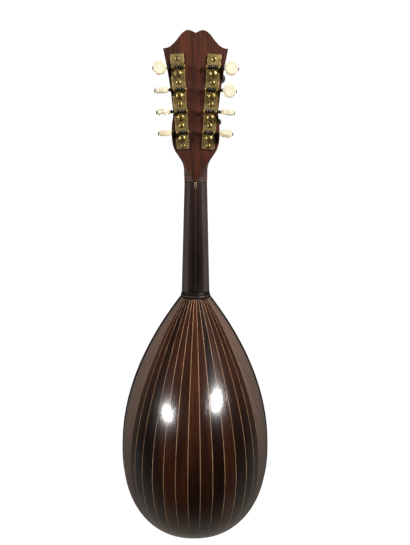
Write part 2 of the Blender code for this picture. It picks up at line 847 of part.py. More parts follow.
def gear_post_mesh(side):
    """Gear and its screw on the string post, turning about Y; a tooth points to the worm."""
    outline = ((-0.00070, 0.00435), (-0.00018, 0.00545), (0.00018, 0.00545), (0.00070, 0.00435))
    slant = WORM_PITCH / (2 * math.pi * WORM_RADIUS) / GEAR_RADIUS
    rings = []
    for y in (-GEAR_HALF_THICK, GEAR_HALF_THICK):
        ring = []
        for tooth in range(TEETH):
            for across, radius in outline:
                turn = 2 * math.pi * tooth / TEETH + across / radius + side * slant * y
                ring.append((radius * math.sin(turn), y - GEAR_HEIGHT, radius * math.cos(turn)))
        rings.append(ring)
    gear = loft("gear", rings)
    top = HEAD_THICK + GAP + VENEER_THICK + POST_RISE
    screw = GEAR_HEIGHT + GEAR_HALF_THICK
    profile = [
        (-screw - 0.0013, 0.0012),
        (-screw - 0.0009, 0.0021),
        (-screw + 0.0004, 0.0021),
        (-screw + 0.0005, POST_RADIUS),
        (top - 0.0008, POST_RADIUS),
        (top, POST_RADIUS - 0.0008),
    ]
    return joined("gear_post", [gear, turned("post", profile, 10)])


def button_mesh(side):
    """A round flattened button on its shaft's axis X, with the bore that the shaft fills."""
    bm = bmesh.new()
    bmesh.ops.create_cone(
        bm, cap_ends=True, segments=16, radius1=BUTTON_RADIUS, radius2=BUTTON_RADIUS, depth=BUTTON_THICK
    )
    rims = [e for e in bm.edges if abs(e.verts[0].co.z - e.verts[1].co.z) < 0.0001]
    bmesh.ops.bevel(bm, geom=rims, offset=0.0015, segments=1, affect="EDGES")
    turn = Matrix.Rotation(math.pi / 2, 4, "X")
    spot = Matrix.Translation((side * BUTTON_AT, 0, 0))
    bmesh.ops.transform(bm, matrix=spot @ turn, verts=bm.verts)
    disc = finished(bm, "button")
    start = BUTTON_AT - BUTTON_RADIUS
    ends = sorted((side * (start - 0.0010), side * (start + 0.0020)))
    radii = (0.0023, 0.0029) if side > 0 else (0.0029, 0.0023)
    collar = rod_mesh("collar", radii[0], *ends, "X", sides=10, end_radius=radii[1])
    body = cutter("button", joined("button", [disc, collar]))
    ends = sorted((side * (start - 0.003), side * (BUTTON_AT + BUTTON_RADIUS + 0.003)))
    bore = cutter("bore", rod_mesh("bore", SHAFT_RADIUS + 0.00042, *ends, "X", sides=8))
    boolean(body, bore)
    mesh = baked(body)
    bpy.data.objects.remove(bore, do_unlink=True)
    return mesh


def plate_with_ears(side):
    """A brass plate with two bored ears for each worm shaft and a hole for each post."""
    low, high = PLATE_SPAN
    wide, snip = PLATE_HALF_WIDE, 0.0025
    half = [(wide - snip, high), (wide, high - snip), (wide, low + snip), (wide - snip, low)]
    outline = mirrored_outline(corners(half))
    base = plate_mesh("plate", outline, -GAP - PLATE_THICK, -GAP, smooth=1)
    ears = []
    for z in GEAR_Z:
        for at in EAR_AT:
            middle = side * at
            near = (middle - 0.0005, -GEAR_HEIGHT - 0.0026, z + WORM_OFFSET - 0.0024)
            far = (middle + 0.0005, -GAP - PLATE_THICK / 2, z + WORM_OFFSET + 0.0024)
            ears.append(box_mesh("ear", near, far))
    body = cutter("plate", joined("plate", [base, *ears]))
    tools = []
    for z in GEAR_Z:
        tools.append(rod_mesh("post_hole", HOLE_RADIUS, -0.004, 0.002, "Y", (0, z), sides=10))
        spot = (-GEAR_HEIGHT, z + WORM_OFFSET)
        tools.append(rod_mesh("ear_hole", 0.0017, -0.010, 0.010, "X", spot, sides=8))
    holes = [cutter(f"plate_tool_{i}", tool) for i, tool in enumerate(tools)]
    for hole in holes:
        boolean(body, hole)
    mesh = baked(body)
    for hole in holes:
        bpy.data.objects.remove(hole, do_unlink=True)
    return mesh


def build_machine(name, side, stand):
    """One plate with its four worm shafts, buttons and gear posts."""
    brass = ((0.55, 0.38, 0.12), 0.35, 1.0)
    steel = ((0.10, 0.09, 0.085), 0.4, 0.9)
    ivory = ((0.86, 0.78, 0.58), 0.35)
    place(f"machine_plate_{name}", plate_with_ears(side), brass, parent=stand)
    shaft, post, button = worm_shaft_mesh(side), gear_post_mesh(side), button_mesh(side)
    for k, z in enumerate(GEAR_Z):
        number = f"{name}_{k + 1}"
        axis = empty(f"worm_axis_{number}", stand, (0, -GEAR_HEIGHT, z + WORM_OFFSET))
        place(f"worm_shaft_{number}", shaft, steel, parent=axis)
        angle = math.radians(BUTTON_TURNS[name][k])
        place(f"button_{number}", button, ivory, parent=axis, turn=(angle, 0, 0))
        post_axis = empty(f"post_axis_{number}", stand, (0, 0, z))
        place(f"gear_post_{number}", post, brass, parent=post_axis)


# Bridge and strings


def build_bridge():
    """The bridge base, slotted for its bone saddle; only the strings hold it down."""
    axis = empty("bridge_frame", location=(0, 0, BRIDGE_Z))
    low = FRETBOARD_BOTTOM
    half = [
        (0.0520, low, "corner"),
        (0.0520, low + 0.0014, "corner"),
        (0.0440, low + 0.0024),
        (0.0360, low + 0.0046, "corner"),
    ]
    mesh = plate_mesh("bridge_base", mirrored_outline(half), -0.0045, 0.0045)
    mesh.transform(Matrix(((1, 0, 0, 0), (0, 0, 1, 0), (0, -1, 0, 0), (0, 0, 0, 1))))
    base = place("bridge_base", mesh, ((0.04, 0.02, 0.015), 0.3), parent=axis)
    slot_floor = low + 0.0022
    slot = box_mesh("saddle_slot", (-0.0325, slot_floor, -0.0014), (0.0325, 0.02, 0.0014))
    boolean(base, cutter("saddle_slot", slot, axis))
    saddle_top = STRING_AT_BRIDGE - STRING_RADII[0] - GAP
    saddle = box_mesh(
        "bridge_saddle", (-0.0320, slot_floor + GAP, -0.0011), (0.0320, saddle_top, 0.0011), bevel=0.0004
    )
    place("bridge_saddle", saddle, ((0.80, 0.75, 0.62), 0.4), parent=axis)


def post_spot(side, k, rise):
    """Where a string meets its post, on the side towards the centreline."""
    x = PLATE_AT[0] + GEAR_Z[k] * math.sin(PLATE_LEAN)
    along = PLATE_AT[1] + GEAR_Z[k] * math.cos(PLATE_LEAN)
    out = HEAD_THICK + GAP + VENEER_THICK + rise
    tilt = Matrix.Rotation(HEAD_TILT, 4, "X")
    spot = tilt @ Vector((side * x, out, along))
    spot.y += NECK_BACK_AT_NUT
    return spot


def build_strings(hook):
    """Eight strings in four pairs, from the hooks over bridge and nut to the posts."""
    names = ("g", "d", "a", "e")
    posts = {0: (3, 2), 1: (1, 0), 2: (0, 1), 3: (2, 3)}
    rises = (0.0065, 0.0038, 0.0065, 0.0038)
    for course in range(4):
        side = 1 if course < 2 else -1
        inner = course if course < 2 else 3 - course
        radius = STRING_RADII[course]
        for pair in range(2):
            lean = 1 if pair == 0 else -1
            at_nut = side * COURSE_AT_NUT[inner] + lean * PAIR_AT_NUT
            at_bridge = side * COURSE_AT_BRIDGE[inner] + lean * PAIR_AT_BRIDGE
            k = posts[course][pair]
            end = post_spot(side, k, rises[k])
            end.x -= side * (POST_RADIUS + 2 * GAP + radius)
            index = course * 2 + pair
            drop = STRING_RADII[0] - radius
            hook_x = (3.5 - index) * TAIL_SPACING
            points = [
                end,
                (at_nut, STRING_AT_NUT - drop, NUT_LONG - 0.0003),
                (at_nut, STRING_AT_NUT - drop, 2 * GAP),
                (at_bridge, STRING_AT_BRIDGE - drop, BRIDGE_Z + 0.0006),
                (at_bridge, STRING_AT_BRIDGE - drop, BRIDGE_Z - 0.0006),
                (hook_x, hook.y, hook.z + GAP + radius),
            ]
            curve = bpy.data.curves.new(f"string_{names[course]}_{pair + 1}", "CURVE")
            curve.dimensions = "3D"
            curve.bevel_depth = radius
            curve.bevel_resolution = 1
            curve.use_fill_caps = True
            spline = curve.splines.new("POLY")
            spline.points.add(len(points) - 1)
            for knot, point in zip(spline.points, points):
                knot.co = (*point, 1)
            obj = bpy.data.objects.new(curve.name, curve)
            PARTS.objects.link(obj)
            colour = (0.55, 0.42, 0.25) if course < 2 else (0.70, 0.70, 0.70)
            curve.materials.append(material(curve.name, colour, 0.3, 1.0))


build_bowl()
build_blocks()
build_linings()
build_soundboard()
build_binding()
build_braces()
build_neck()
build_fretboard()
build_head()
build_bridge()
build_strings(build_tail())
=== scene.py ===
"""Looks of a neapolitan mandolin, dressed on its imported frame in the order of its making."""

import math
from functools import lru_cache

import bpy
from mathutils import Matrix, Vector


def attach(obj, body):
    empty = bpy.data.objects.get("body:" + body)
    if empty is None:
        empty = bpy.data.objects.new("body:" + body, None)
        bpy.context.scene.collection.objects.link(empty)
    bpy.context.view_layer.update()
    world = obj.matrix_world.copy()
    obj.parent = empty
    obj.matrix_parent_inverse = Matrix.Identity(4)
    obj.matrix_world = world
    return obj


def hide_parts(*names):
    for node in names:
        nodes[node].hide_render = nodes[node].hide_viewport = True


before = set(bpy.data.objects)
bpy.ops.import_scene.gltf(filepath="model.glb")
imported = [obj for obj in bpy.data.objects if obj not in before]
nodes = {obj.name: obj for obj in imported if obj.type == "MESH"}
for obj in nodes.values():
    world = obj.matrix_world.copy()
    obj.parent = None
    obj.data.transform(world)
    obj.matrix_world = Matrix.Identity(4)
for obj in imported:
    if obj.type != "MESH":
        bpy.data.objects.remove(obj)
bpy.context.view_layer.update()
bpy.ops.object.select_all(action="DESELECT")

# Camera: it stands half a metre behind the instrument, level with the middle of the neck, and
# looks slightly down and to the right. The angle of view comes from the picture's height.
camera_place = (0.00474, -0.54738, -0.08038)
camera_down = math.radians(3.67)
camera_aside = math.radians(0.80)
camera_roll = math.radians(0.21)
picture_high = 545
focal_pixels = 416.9
film_wide = 36.0

bpy.ops.object.camera_add(location=camera_place)
camera = bpy.context.object
level = Matrix.Rotation(-camera_aside, 3, "Z") @ Matrix.Rotation(math.pi / 2 - camera_down, 3, "X")
camera.rotation_euler = (level @ Matrix.Rotation(camera_roll, 3, "Z")).to_euler()
camera.data.sensor_width = film_wide
camera.data.lens = film_wide * focal_pixels / picture_high
camera.data.clip_start = 0.02
bpy.context.scene.camera = camera
bpy.context.scene.view_settings.view_transform = "Standard"


# White ground: one sheet of paper that starts behind the instrument, runs over the floor and
# rises to a wall. It shows white to the camera and dim in reflections, and it is only as wide
# as the picture, so that the polish reflects a dark room.
def colour(code):
    """The linear colour of an sRGB hex code."""
    values = [int(code[i : i + 2], 16) / 255 for i in (1, 3, 5)]
    return (*(v / 12.92 if v <= 0.04045 else ((v + 0.055) / 1.055) ** 2.4 for v in values), 1.0)


def node(tree, kind, settings, links=None):
    """Add a shader node: settings are its properties or socket values, and links feed its sockets.

    A link comes from an output, or from the first output of a node.
    """
    made = tree.nodes.new(f"ShaderNode{kind}")
    for key, value in settings.items():
        if isinstance(key, str) and hasattr(made, key):
            setattr(made, key, value)
        else:
            made.inputs[key].default_value = value
    for key, source in (links or {}).items():
        output = source.outputs[0] if isinstance(source, bpy.types.Node) else source
        tree.links.new(output, made.inputs[key])
    return made


def material(name, values):
    """Start a material with its shader's values; gives it, its node tree and the shader's inputs."""
    made = bpy.data.materials.new(name)
    made.use_nodes = True
    inputs = made.node_tree.nodes["Principled BSDF"].inputs
    for key, value in values.items():
        inputs[key].default_value = value
    return made, made.node_tree, inputs


ground_z = -0.66
wall_y = 0.90
ground_reach = 0.74
ground_wide = 1.60
wall_high = 1.55

bpy.ops.mesh.primitive_plane_add(size=1, location=(0, wall_y - ground_reach / 2, ground_z))
ground = bpy.context.object
ground.name = "paper_ground"
ground.scale = (ground_wide, ground_reach, 1)
bpy.ops.object.transform_apply(location=True, rotation=True, scale=True)
bpy.ops.object.mode_set(mode="EDIT")
bpy.ops.mesh.select_all(action="DESELECT")
bpy.ops.object.mode_set(mode="OBJECT")
for edge in ground.data.edges:
    edge.select = all(ground.data.vertices[i].co.y > wall_y - 0.01 for i in edge.vertices)
bpy.ops.object.mode_set(mode="EDIT")
bpy.ops.mesh.select_mode(type="EDGE")
bpy.ops.mesh.extrude_region_move(TRANSFORM_OT_translate={"value": (0, 0, wall_high)})
bpy.ops.object.mode_set(mode="OBJECT")
bend = ground.modifiers.new("bend", "BEVEL")
bend.width = 0.30
bend.segments = 10
bend.limit_method = "ANGLE"
bpy.ops.object.modifier_apply(modifier="bend")
bpy.ops.object.shade_smooth()

mirrored_glow = 0.04
paper_values = {"Base Color": colour("#4c4742"), "Roughness": 0.9, "Emission Color": (1, 1, 1, 1)}
paper, tree, inputs = material("white_paper", {**paper_values, "Specular IOR Level": 0.0})
rays = node(tree, "LightPath", {}).outputs
mirrored_rays = node(
    tree, "Math", {"operation": "ADD"}, {0: rays["Is Glossy Ray"], 1: rays["Is Transmission Ray"]}
)
glow = node(
    tree,
    "Math",
    {"operation": "MULTIPLY_ADD", 1: mirrored_glow},
    {0: mirrored_rays, 2: rays["Is Camera Ray"]},
)
tree.links.new(glow.outputs[0], inputs["Emission Strength"])
ground.data.materials.append(paper)

# Studio light: a room that is dark on the camera's side and dim behind, above and below, two
# soft boxes left and right of the camera that show as the bright spots on the polish, and a
# weaker lamp that lights the instrument's front. The room shows white to the camera.
world = bpy.data.worlds.new("studio")
bpy.context.scene.world = world
world.use_nodes = True
tree = world.node_tree
background = tree.nodes["Background"].inputs
background["Color"].default_value = colour("#fff0e0")
direction = node(tree, "TexCoord", {}).outputs["Generated"]
parts = node(tree, "SeparateXYZ", {}, {"Vector": direction}).outputs
room = {}
for name, axis, start, end, dim, bright in (
    ("behind", "Y", 0.2, 0.92, 0.01, 0.12),
    ("above", "Z", 0.45, 0.95, 0.0, 0.05),
    ("below", "Z", -0.35, -0.80, 0.0, 0.11),
    ("floor_start", "Y", -0.30, 0.10, 0.0, 1.0),
):
    fade = {"From Min": start, "From Max": end, "To Min": dim, "To Max": bright}
    room[name] = node(tree, "MapRange", fade, {"Value": parts[axis]})
below = node(tree, "Math", {"operation": "MULTIPLY"}, {0: room["below"], 1: room["floor_start"]})
rays = node(tree, "LightPath", {}).outputs
strength = room["behind"]
for source in (room["above"], below, rays["Is Camera Ray"]):
    strength = node(tree, "Math", {"operation": "ADD"}, {0: strength, 1: source})
tree.links.new(strength.outputs[0], background["Strength"])

# Name, the spot it lights, the way to the lamp, how far off it is, width, height and watts.
soft_boxes = (
    ("soft_box_left", (-0.028, -0.108, -0.259), (-0.845, -0.428, 0.290), 1.25, 0.54, 0.28, 16.0),
    ("soft_box_right", (0.023, -0.104, -0.248), (0.702, -0.461, 0.505), 1.25, 0.58, 0.38, 22.0),
    ("front_lamp", (0.0, 0.0, -0.15), (0.0, 1.0, 0.0), 0.80, 0.16, 0.40, 2.5),
)
for name, spot, towards, away, wide, high, watts in soft_boxes:
    spot, towards = Vector(spot), Vector(towards).normalized()
    bpy.ops.object.light_add(type="AREA", location=spot + towards * away)
    lamp = bpy.context.object
    lamp.name = name
    lamp.rotation_euler = towards.to_track_quat("Z", "Y").to_euler()
    lamp.visible_camera = False
    lamp.data.shape = "ELLIPSE"
    lamp.data.size, lamp.data.size_y, lamp.data.energy = wide, high, watts


# Ribs: thirteen bent ribs of rosewood with light holly lines between them, and a wide rib on
# each side. They are glued edge to edge, scraped to one smooth round and French polished.
scale_long = 0.335
joint_fret = 10
joint_z = -scale_long * (1 - 2 ** (-joint_fret / 12))
body_long = 0.3113
widest_at, rim_half = 0.2010, 0.0960
deepest_at, bowl_deep = 0.1556, 0.1250
side_curve = (0.0181, rim_half, widest_at, 0.0768, 0.0719, math.radians(37.7), 2.35, 2.31)
back_curve = (0.0292, bowl_deep, deepest_at, 0.0833, 0.0608, math.radians(34.5), 1.94, 1.90)
side_power, back_power = 1.63, 2.21
bend_at = joint_z + scale_long + 0.007
cant = math.tan(math.radians(6.5))
end_deep = 0.0030
rib_thick = 0.0026
line_wide, line_thick = 0.00072, 0.0012
seams = [math.radians(a) for a in (38.7, 46.0, 54.4, 63.6, 71.9, 79.8, 87.0)]
seams += [math.pi - turn for turn in reversed(seams)]
hair = 0.0003


def climbing(s, start, peak, reach, lead, settle, slope, power, root):
    """The bowl's half width or depth at s below the joint: a cubic curve, then a round tail."""
    if s >= reach:
        return peak * (1 - min(1.0, (s - reach) / (body_long - reach)) ** power) ** (1 / root)
    places = (0, lead * math.cos(slope), reach - settle, reach)
    values = (start, start + lead * math.sin(slope), peak, peak)
    low, high = 0.0, 1.0
    for _ in range(30):
        t = (low + high) / 2
        u = 1 - t
        weights = (u**3, 3 * t * u * u, 3 * t * t * u, t**3)
        if sum(w * p for w, p in zip(weights, places)) < s:
            low = t
        else:
            high = t
    return sum(w * v for w, v in zip(weights, values))


@lru_cache(maxsize=None)
def bowl_section(s):
    """Half width, depth, drop of the rim plane and the angle where that plane cuts, at s."""
    wide, deep = climbing(s, *side_curve), climbing(s, *back_curve)
    drop = max(0.0, s - bend_at) * cant
    return wide, deep, drop, math.asin(min(1.0, drop / deep) ** (side_power / 2))


def bowl_point(s, turn):
    """A point of the bowl's outside: turn runs from 0 at the +X rim to pi at the -X rim."""
    wide, deep, _, cut = bowl_section(s)
    angle = cut + (1 - 2 * cut / math.pi) * min(turn, math.pi - turn)
    x = wide * max(0.0, math.cos(angle)) ** (2 / back_power)
    y = -deep * math.sin(angle) ** (2 / side_power)
    return Vector((x if turn < math.pi / 2 else -x, y - hair, joint_z - s))


low, high = widest_at, body_long
for _ in range(40):
    middle = (low + high) / 2
    section = bowl_section(middle)
    low, high = (middle, high) if section[1] - section[2] > end_deep else (low, middle)
body_end = low
tail_turn = math.asin((body_end - widest_at) / (body_long - widest_at))


def bowl_place(v):
    """The place along the body for v from 0 to 1, with the rows closer together at the tail."""
    if v < 0.5:
        return widest_at * (2 * v) ** 0.95
    return widest_at + (body_long - widest_at) * math.sin(tail_turn * (2 * v - 1))


def only(piece):
    """Select one piece and nothing else."""
    bpy.ops.object.select_all(action="DESELECT")
    piece.select_set(True)
    bpy.context.view_layer.objects.active = piece


def apply_modifiers(piece):
    """Make the piece's modifiers part of its mesh."""
    only(piece)
    for name in [modifier.name for modifier in piece.modifiers]:
        bpy.ops.object.modifier_apply(modifier=name)


def laid_sheet(name, columns, rows, point, seed=0.0):
    """A sheet of faces laid on a surface, point(u, v), that remembers how its wood's grain runs."""
    bpy.ops.mesh.primitive_grid_add(x_subdivisions=columns, y_subdivisions=rows, size=2)
    sheet = bpy.context.object
    sheet.name = sheet.data.name = name
    places = [((v.co.x + 1) / 2, (v.co.y + 1) / 2) for v in sheet.data.vertices]
    levels = sorted({round(v, 6) for _, v in places})
    run, along, last = 0.0, {}, None
    for level_v in levels:
        middle_point = point(0.5, level_v)
        run += (middle_point - last).length if last else 0.0
        last = middle_point
        along[level_v] = (run, middle_point)
    grain = sheet.data.attributes.new("grain", "FLOAT_VECTOR", "POINT")
    for vert, (u, v) in zip(sheet.data.vertices, places):
        vert.co = point(u, v)
        run, middle_point = along[round(v, 6)]
        across = math.copysign((vert.co - middle_point).length, u - 0.5)
        grain.data[vert.index].vector = (across, seed, run)
    sheet.data.update()
    return sheet


def thickened(piece, thick):
    """Give a sheet its thickness, inwards."""
    wall = piece.modifiers.new("thickness", "SOLIDIFY")
    wall.thickness = thick
    wall.use_even_offset = True
    apply_modifiers(piece)


def fit_piece(piece, finish, body, slot, *stands_for, smooth=35):
    """Give a finished piece its material, its smooth faces, its body and what it stands for."""
    piece.data.materials.clear()
    piece.data.materials.append(finish)
    only(piece)
    bpy.ops.object.shade_smooth_by_angle(angle=math.radians(smooth))
    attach(piece, body)
    if stands_for:
        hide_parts(*stands_for)


def wood(
    name, shades, streak, pore, roughness, polish=0.0, coat=0.16, gleam=0.5, follows="object", tones=False,
    lean=0.0, quartered=False
):
    """A wood: shades go from dark to light; streak and pore are (width, length) in metres.

    The grain runs along Z, tilted by lean, or along the piece's own grain attribute. Quartered
    wood has its year rings straight through its thickness.
    """
    finish = {"Roughness": roughness, "Specular IOR Level": gleam, "IOR": 1.5, "Coat IOR": 1.5}
    made, tree, inputs = material(name, {**finish, "Coat Weight": polish, "Coat Roughness": coat})
    if follows == "object":
        place_on = node(tree, "TexCoord", {}).outputs["Object"]
        source = node(tree, "Mapping", {"Rotation": (-lean, 0, 0)}, {"Vector": place_on}).outputs[0]
    else:
        source = node(tree, "Attribute", {"attribute_name": "grain"}).outputs["Vector"]
    # Three clouds are stretched along the grain: the streaks, the pores and a slow drift of tone.
    clouds = []
    grit = {"Scale": 1.0, "Detail": 3.0, "Roughness": 0.55}
    for wide, long in (streak, pore, (streak[0] * 9, streak[1] * 4)):
        scale = (1 / wide, 0.0 if quartered else 1 / wide, 1 / long)
        mapping = node(tree, "Mapping", {"Scale": scale}, {"Vector": source})
        noise = node(tree, "TexNoise", grit, {"Vector": mapping})
        clouds.append(node(tree, "MapRange", {"From Min": 0.34, "From Max": 0.66}, {"Value": noise}))
    streaks, pores, drift = clouds
    # The streaks mix the darker shades, and the drift and the piece's tone bring in the lighter.
    # On the ribs and the neck the tone also holds painted light and painted sheen.
    dark, middle, light, *warmest = [colour(shade) for shade in shades]
    body = node(tree, "Mix", {"data_type": "RGBA", 6: dark, 7: middle}, {0: streaks})
    share = node(tree, "Math", {"operation": "MULTIPLY", 1: 0.6}, {0: drift})
    if tones:
        tone = node(tree, "Attribute", {"attribute_name": "tone"}).outputs["Fac"]
        share = node(tree, "Math", {"operation": "MULTIPLY_ADD", 1: 0.3}, {0: drift, 2: tone})
    body = node(tree, "Mix", {"data_type": "RGBA", 7: light}, {0: share, 6: body.outputs[2]})
    for shade in warmest:
        warm = node(tree, "MapRange", {"From Min": 0.5, "From Max": 1.3}, {"Value": share})
        body = node(tree, "Mix", {"data_type": "RGBA", 7: shade}, {0: warm, 6: body.outputs[2]})
    # The pores are dark and a little sunk, and the polish over them shows the streaks' waves.
    holes = node(tree, "MapRange", {"From Max": 0.35, "To Min": 0.45}, {"Value": pores})
    figure = node(tree, "Math", {"operation": "MULTIPLY_ADD", 1: 0.6, 2: 0.65}, {0: streaks})
    depth = node(tree, "Math", {"operation": "MULTIPLY"}, {0: figure, 1: holes})
    body = node(
        tree, "Mix", {"data_type": "RGBA", "blend_type": "MULTIPLY", 0: 1.0}, {6: body.outputs[2], 7: depth}
    )
    waves = node(tree, "Math", {"operation": "MULTIPLY_ADD", 1: 0.6}, {0: streaks, 2: holes})
    bump = node(tree, "Bump", {"Strength": 0.4, "Distance": 0.0001}, {"Height": holes})
    ripple = node(tree, "Bump", {"Strength": 0.45, "Distance": 0.0001}, {"Height": waves})
    tree.links.new(body.outputs[2], inputs["Base Color"])
    tree.links.new(bump.outputs[0], inputs["Normal"])
    tree.links.new(ripple.outputs[0], inputs["Coat Normal"])
    return made


# Rosewood under French polish: near black with red-brown streaks a millimetre wide and open
# pores; the thin shellac gives a clear, almost sharp reflection over a soft one.
# Its lightest shades come in mostly near the neck, where the ribs' tone holds painted light.
rib_wood = wood(
    "rosewood_french_polished", ("#030201", "#120805", "#31170c", "#562c17"), streak=(0.0013, 0.050),
    pore=(0.0007, 0.006), roughness=0.26, gleam=0.6, polish=1.0, follows="grain", tones=True
)
# The side ribs' rosewood is made lighter and greyer by a painted sheen in its colour.
side_wood = wood(
    "rosewood_side_painted_sheen", ("#060403", "#1d1310", "#44322b", "#745a4d"), streak=(0.0013, 0.070),
    pore=(0.0007, 0.008), roughness=0.34, polish=0.7, follows="grain", tones=True
)
# Holly is pale and plain, and has yellowed under the polish.
line_wood = wood(
    "holly_stringing_aged", ("#7b5c44", "#9a7859", "#b59272"), streak=(0.0010, 0.020),
    pore=(0.0004, 0.004), roughness=0.40, polish=0.6, follows="grain"
)


def seam_shifted(turn, s, shift):
    """The turn that lies a distance beside a seam on the bowl's surface."""
    pace = (bowl_point(s, turn + 0.004) - bowl_point(s, turn - 0.004)).length / 0.008
    return turn + shift / pace


def rib_between(first, last):
    """The surface of the rib between two seams, short of the lines at its edges."""

    def point(u, v):
        s = bowl_place(v)
        start = first if first == 0 else seam_shifted(first, s, line_wide / 2)
        end = last if last == math.pi else seam_shifted(last, s, -line_wide / 2)
        return bowl_point(s, start + (end - start) * u)

    return point


def set_tone(piece, value, gain, low, high):
    """Say how light a piece's wood is, from 0 for black-brown to 1.

    Its value gains steadily from low up to high, both measured down from the joint.
    """
    tone = piece.data.attributes.new("tone", "FLOAT", "POINT")
    places = [joint_z - vert.co.z for vert in piece.data.vertices]
    shares = [min(1.0, max(0.0, (low - s) / (low - high))) for s in places]
    tone.data.foreach_set("value", [value + gain * share for share in shares])


# Each rib's tone low down and near the neck, from the +X side to the -X side. The rise
# towards the neck is painted light, falling from above.
rib_tones = (
    (0.18, 0.50), (-0.20, 0.45), (-0.10, 0.60), (0.48, 0.62), (0.10, 0.18), (0.50, 0.55), (0.26, 0.72),
    (0.60, 0.46), (0.54, 0.60), (0.30, 0.42), (-0.30, 0.34), (-0.35, 0.44), (0.15, 0.70),
)
rib_painted_light_fade = (0.190, 0.075)
rib_rows = 110
for index, (tone_low, tone_high_with_painted_light) in enumerate(rib_tones):
    surface = rib_between(seams[index], seams[index + 1])
    rib = laid_sheet(f"rib_{index + 1}", 10, rib_rows, surface, seed=0.013 * index)
    set_tone(rib, tone_low, tone_high_with_painted_light - tone_low, *rib_painted_light_fade)
    thickened(rib, rib_thick)
    fit_piece(rib, rib_wood, "instrument", "stave_wood", "bowl_staves")
# The side ribs are painted lighter towards the neck as well: painted light from above.
side_painted_light_gain, side_painted_light_fade = 0.65, (0.200, 0.050)
for side_name, first, last, tone_low in (("right", 0.0, seams[0], 0.50), ("left", seams[-1], math.pi, 0.45)):
    rib = laid_sheet(f"side_rib_{side_name}_polished", 20, rib_rows, rib_between(first, last), seed=0.4)
    set_tone(rib, tone_low, side_painted_light_gain, *side_painted_light_fade)
    thickened(rib, rib_thick)
    fit_piece(rib, side_wood, "instrument", "side_wood", f"side_rib_{side_name}")


def line_along(turn):
    """The surface of the holly line on a seam, a hair proud of the ribs."""

    def point(u, v):
        s = bowl_place(v)
        return bowl_point(s, seam_shifted(turn, s, (u - 0.5) * line_wide))

    return point


for index, turn in enumerate(seams):
    line = laid_sheet(f"holly_line_{index + 1}", 2, rib_rows, line_along(turn), seed=0.02 * index)
    thickened(line, line_thick)
    fit_piece(line, line_wood, "instrument", "stave_wood", "bowl_staves")

# Inside of the bowl: neck and tail blocks and linings of willow and three spruce bars, left
# from the tools. They show through the sound hole, so the frame's solids get bare wood.
willow = wood(
    "willow_bare", ("#a9825a", "#c19a6e", "#cfae84"), streak=(0.002, 0.06), pore=(0.0005, 0.004),
    roughness=0.75
)
bare_spruce = wood(
    "spruce_bare", ("#b98f58", "#d0aa74", "#dcbd8b"), streak=(0.0012, 0.15), pore=(0.0004, 0.01),
    roughness=0.7
)


def refinish(node_name, finish):
    """Give a solid of the frame its material."""
    nodes[node_name].data.materials.clear()
    nodes[node_name].data.materials.append(finish)


for node_name in ("neck_block", "tail_block", "lining_left", "lining_right"):
    refinish(node_name, willow)
for node_name in ("brace_upper", "brace_middle", "brace_lower"):
    refinish(node_name, bare_spruce)


# Soundboard: a spruce plate bent across behind the bridge, with its oval hole. Its varnish
# has yellowed. Black edging, two light lines with a dark one between and the rosette are let
# into it.
board_thick, board_inset = 0.0026, 0.0013
rim_steps = 96
row_half = 0.0016
hole_half = (0.0310, 0.0215)
hole_z = -0.2430


def rim_frame(s, side):
    """A point of the rim's outline, in the rim plane, and its outward direction."""
    here = bowl_point(s, 0.0)
    ahead, back = bowl_point(min(s + 0.0005, body_end), 0.0), bowl_point(max(0.0, s - 0.0005), 0.0)
    along = ahead - back
    out = Vector((-along.z, 0, along.x)).normalized()
    return Vector((here.x * side, 0, here.z)), Vector((out.x * side, 0, out.z))


def board_y(z):
    """The level of the rim plane, which bends down behind the bridge."""
    return -max(0.0, joint_z - z - bend_at) * cant


def board_station(v):
    """The place along the body for v, with one row exactly on the bend."""
    s = max(hair, bowl_place(v))
    return bend_at if abs(s - bend_at) < row_half else s


def board_point(u, v):
    place, out = rim_frame(board_station(v), 1)
    edge = place + out * -board_inset
    return Vector((edge.x * (2 * u - 1), board_thick + board_y(edge.z), edge.z))


def shift(x, y, z):
    """A move."""
    return Matrix.Translation((x, y, z))


def spin(turn, axis):
    """A turn round an axis."""
    return Matrix.Rotation(turn, 4, axis)


def sawn_plate(name, loops, low, high, smooth=10, rounding=0.0):
    """A plate sawn to a drawn outline in X and Z, from low to high in Y, with its edges rounded.

    The outline runs smoothly through points (x, z), and has a corner at each (x, z, True).
    """
    curve = bpy.data.curves.new(name, "CURVE")
    curve.dimensions = "2D"
    curve.fill_mode = "BOTH"
    curve.resolution_u = smooth
    for loop in loops:
        spline = curve.splines.new("BEZIER")
        spline.bezier_points.add(len(loop) - 1)
        for knot, spot in zip(spline.bezier_points, loop):
            knot.co = (spot[0], spot[1], 0)
            knot.handle_left_type = knot.handle_right_type = "VECTOR" if len(spot) > 2 else "AUTO"
        spline.use_cyclic_u = True
    curve.extrude = (high - low) / 2 - rounding
    curve.bevel_depth = rounding
    curve.bevel_resolution = 2
    curve.offset = -rounding
    plate = bpy.data.objects.new(name, curve)
    bpy.context.collection.objects.link(plate)
    only(plate)
    bpy.ops.object.convert(target="MESH")
    plate = bpy.context.object
    plate.data.transform(shift(0, (low + high) / 2, 0) @ spin(math.pi / 2, "X"))
    tidy_mesh(plate)
    return plate


def tidy_mesh(piece, merge=0.00001):
    """Merge what meets, fill what is open and turn all faces out."""
    only(piece)
    bpy.ops.object.mode_set(mode="EDIT")
    bpy.ops.mesh.select_all(action="SELECT")
    bpy.ops.mesh.remove_doubles(threshold=merge)
    bpy.ops.mesh.select_all(action="DESELECT")
    bpy.ops.mesh.select_non_manifold()
    bpy.ops.mesh.fill_holes(sides=0)
    bpy.ops.mesh.select_all(action="SELECT")
    bpy.ops.mesh.normals_make_consistent(inside=False)
    bpy.ops.object.mode_set(mode="OBJECT")


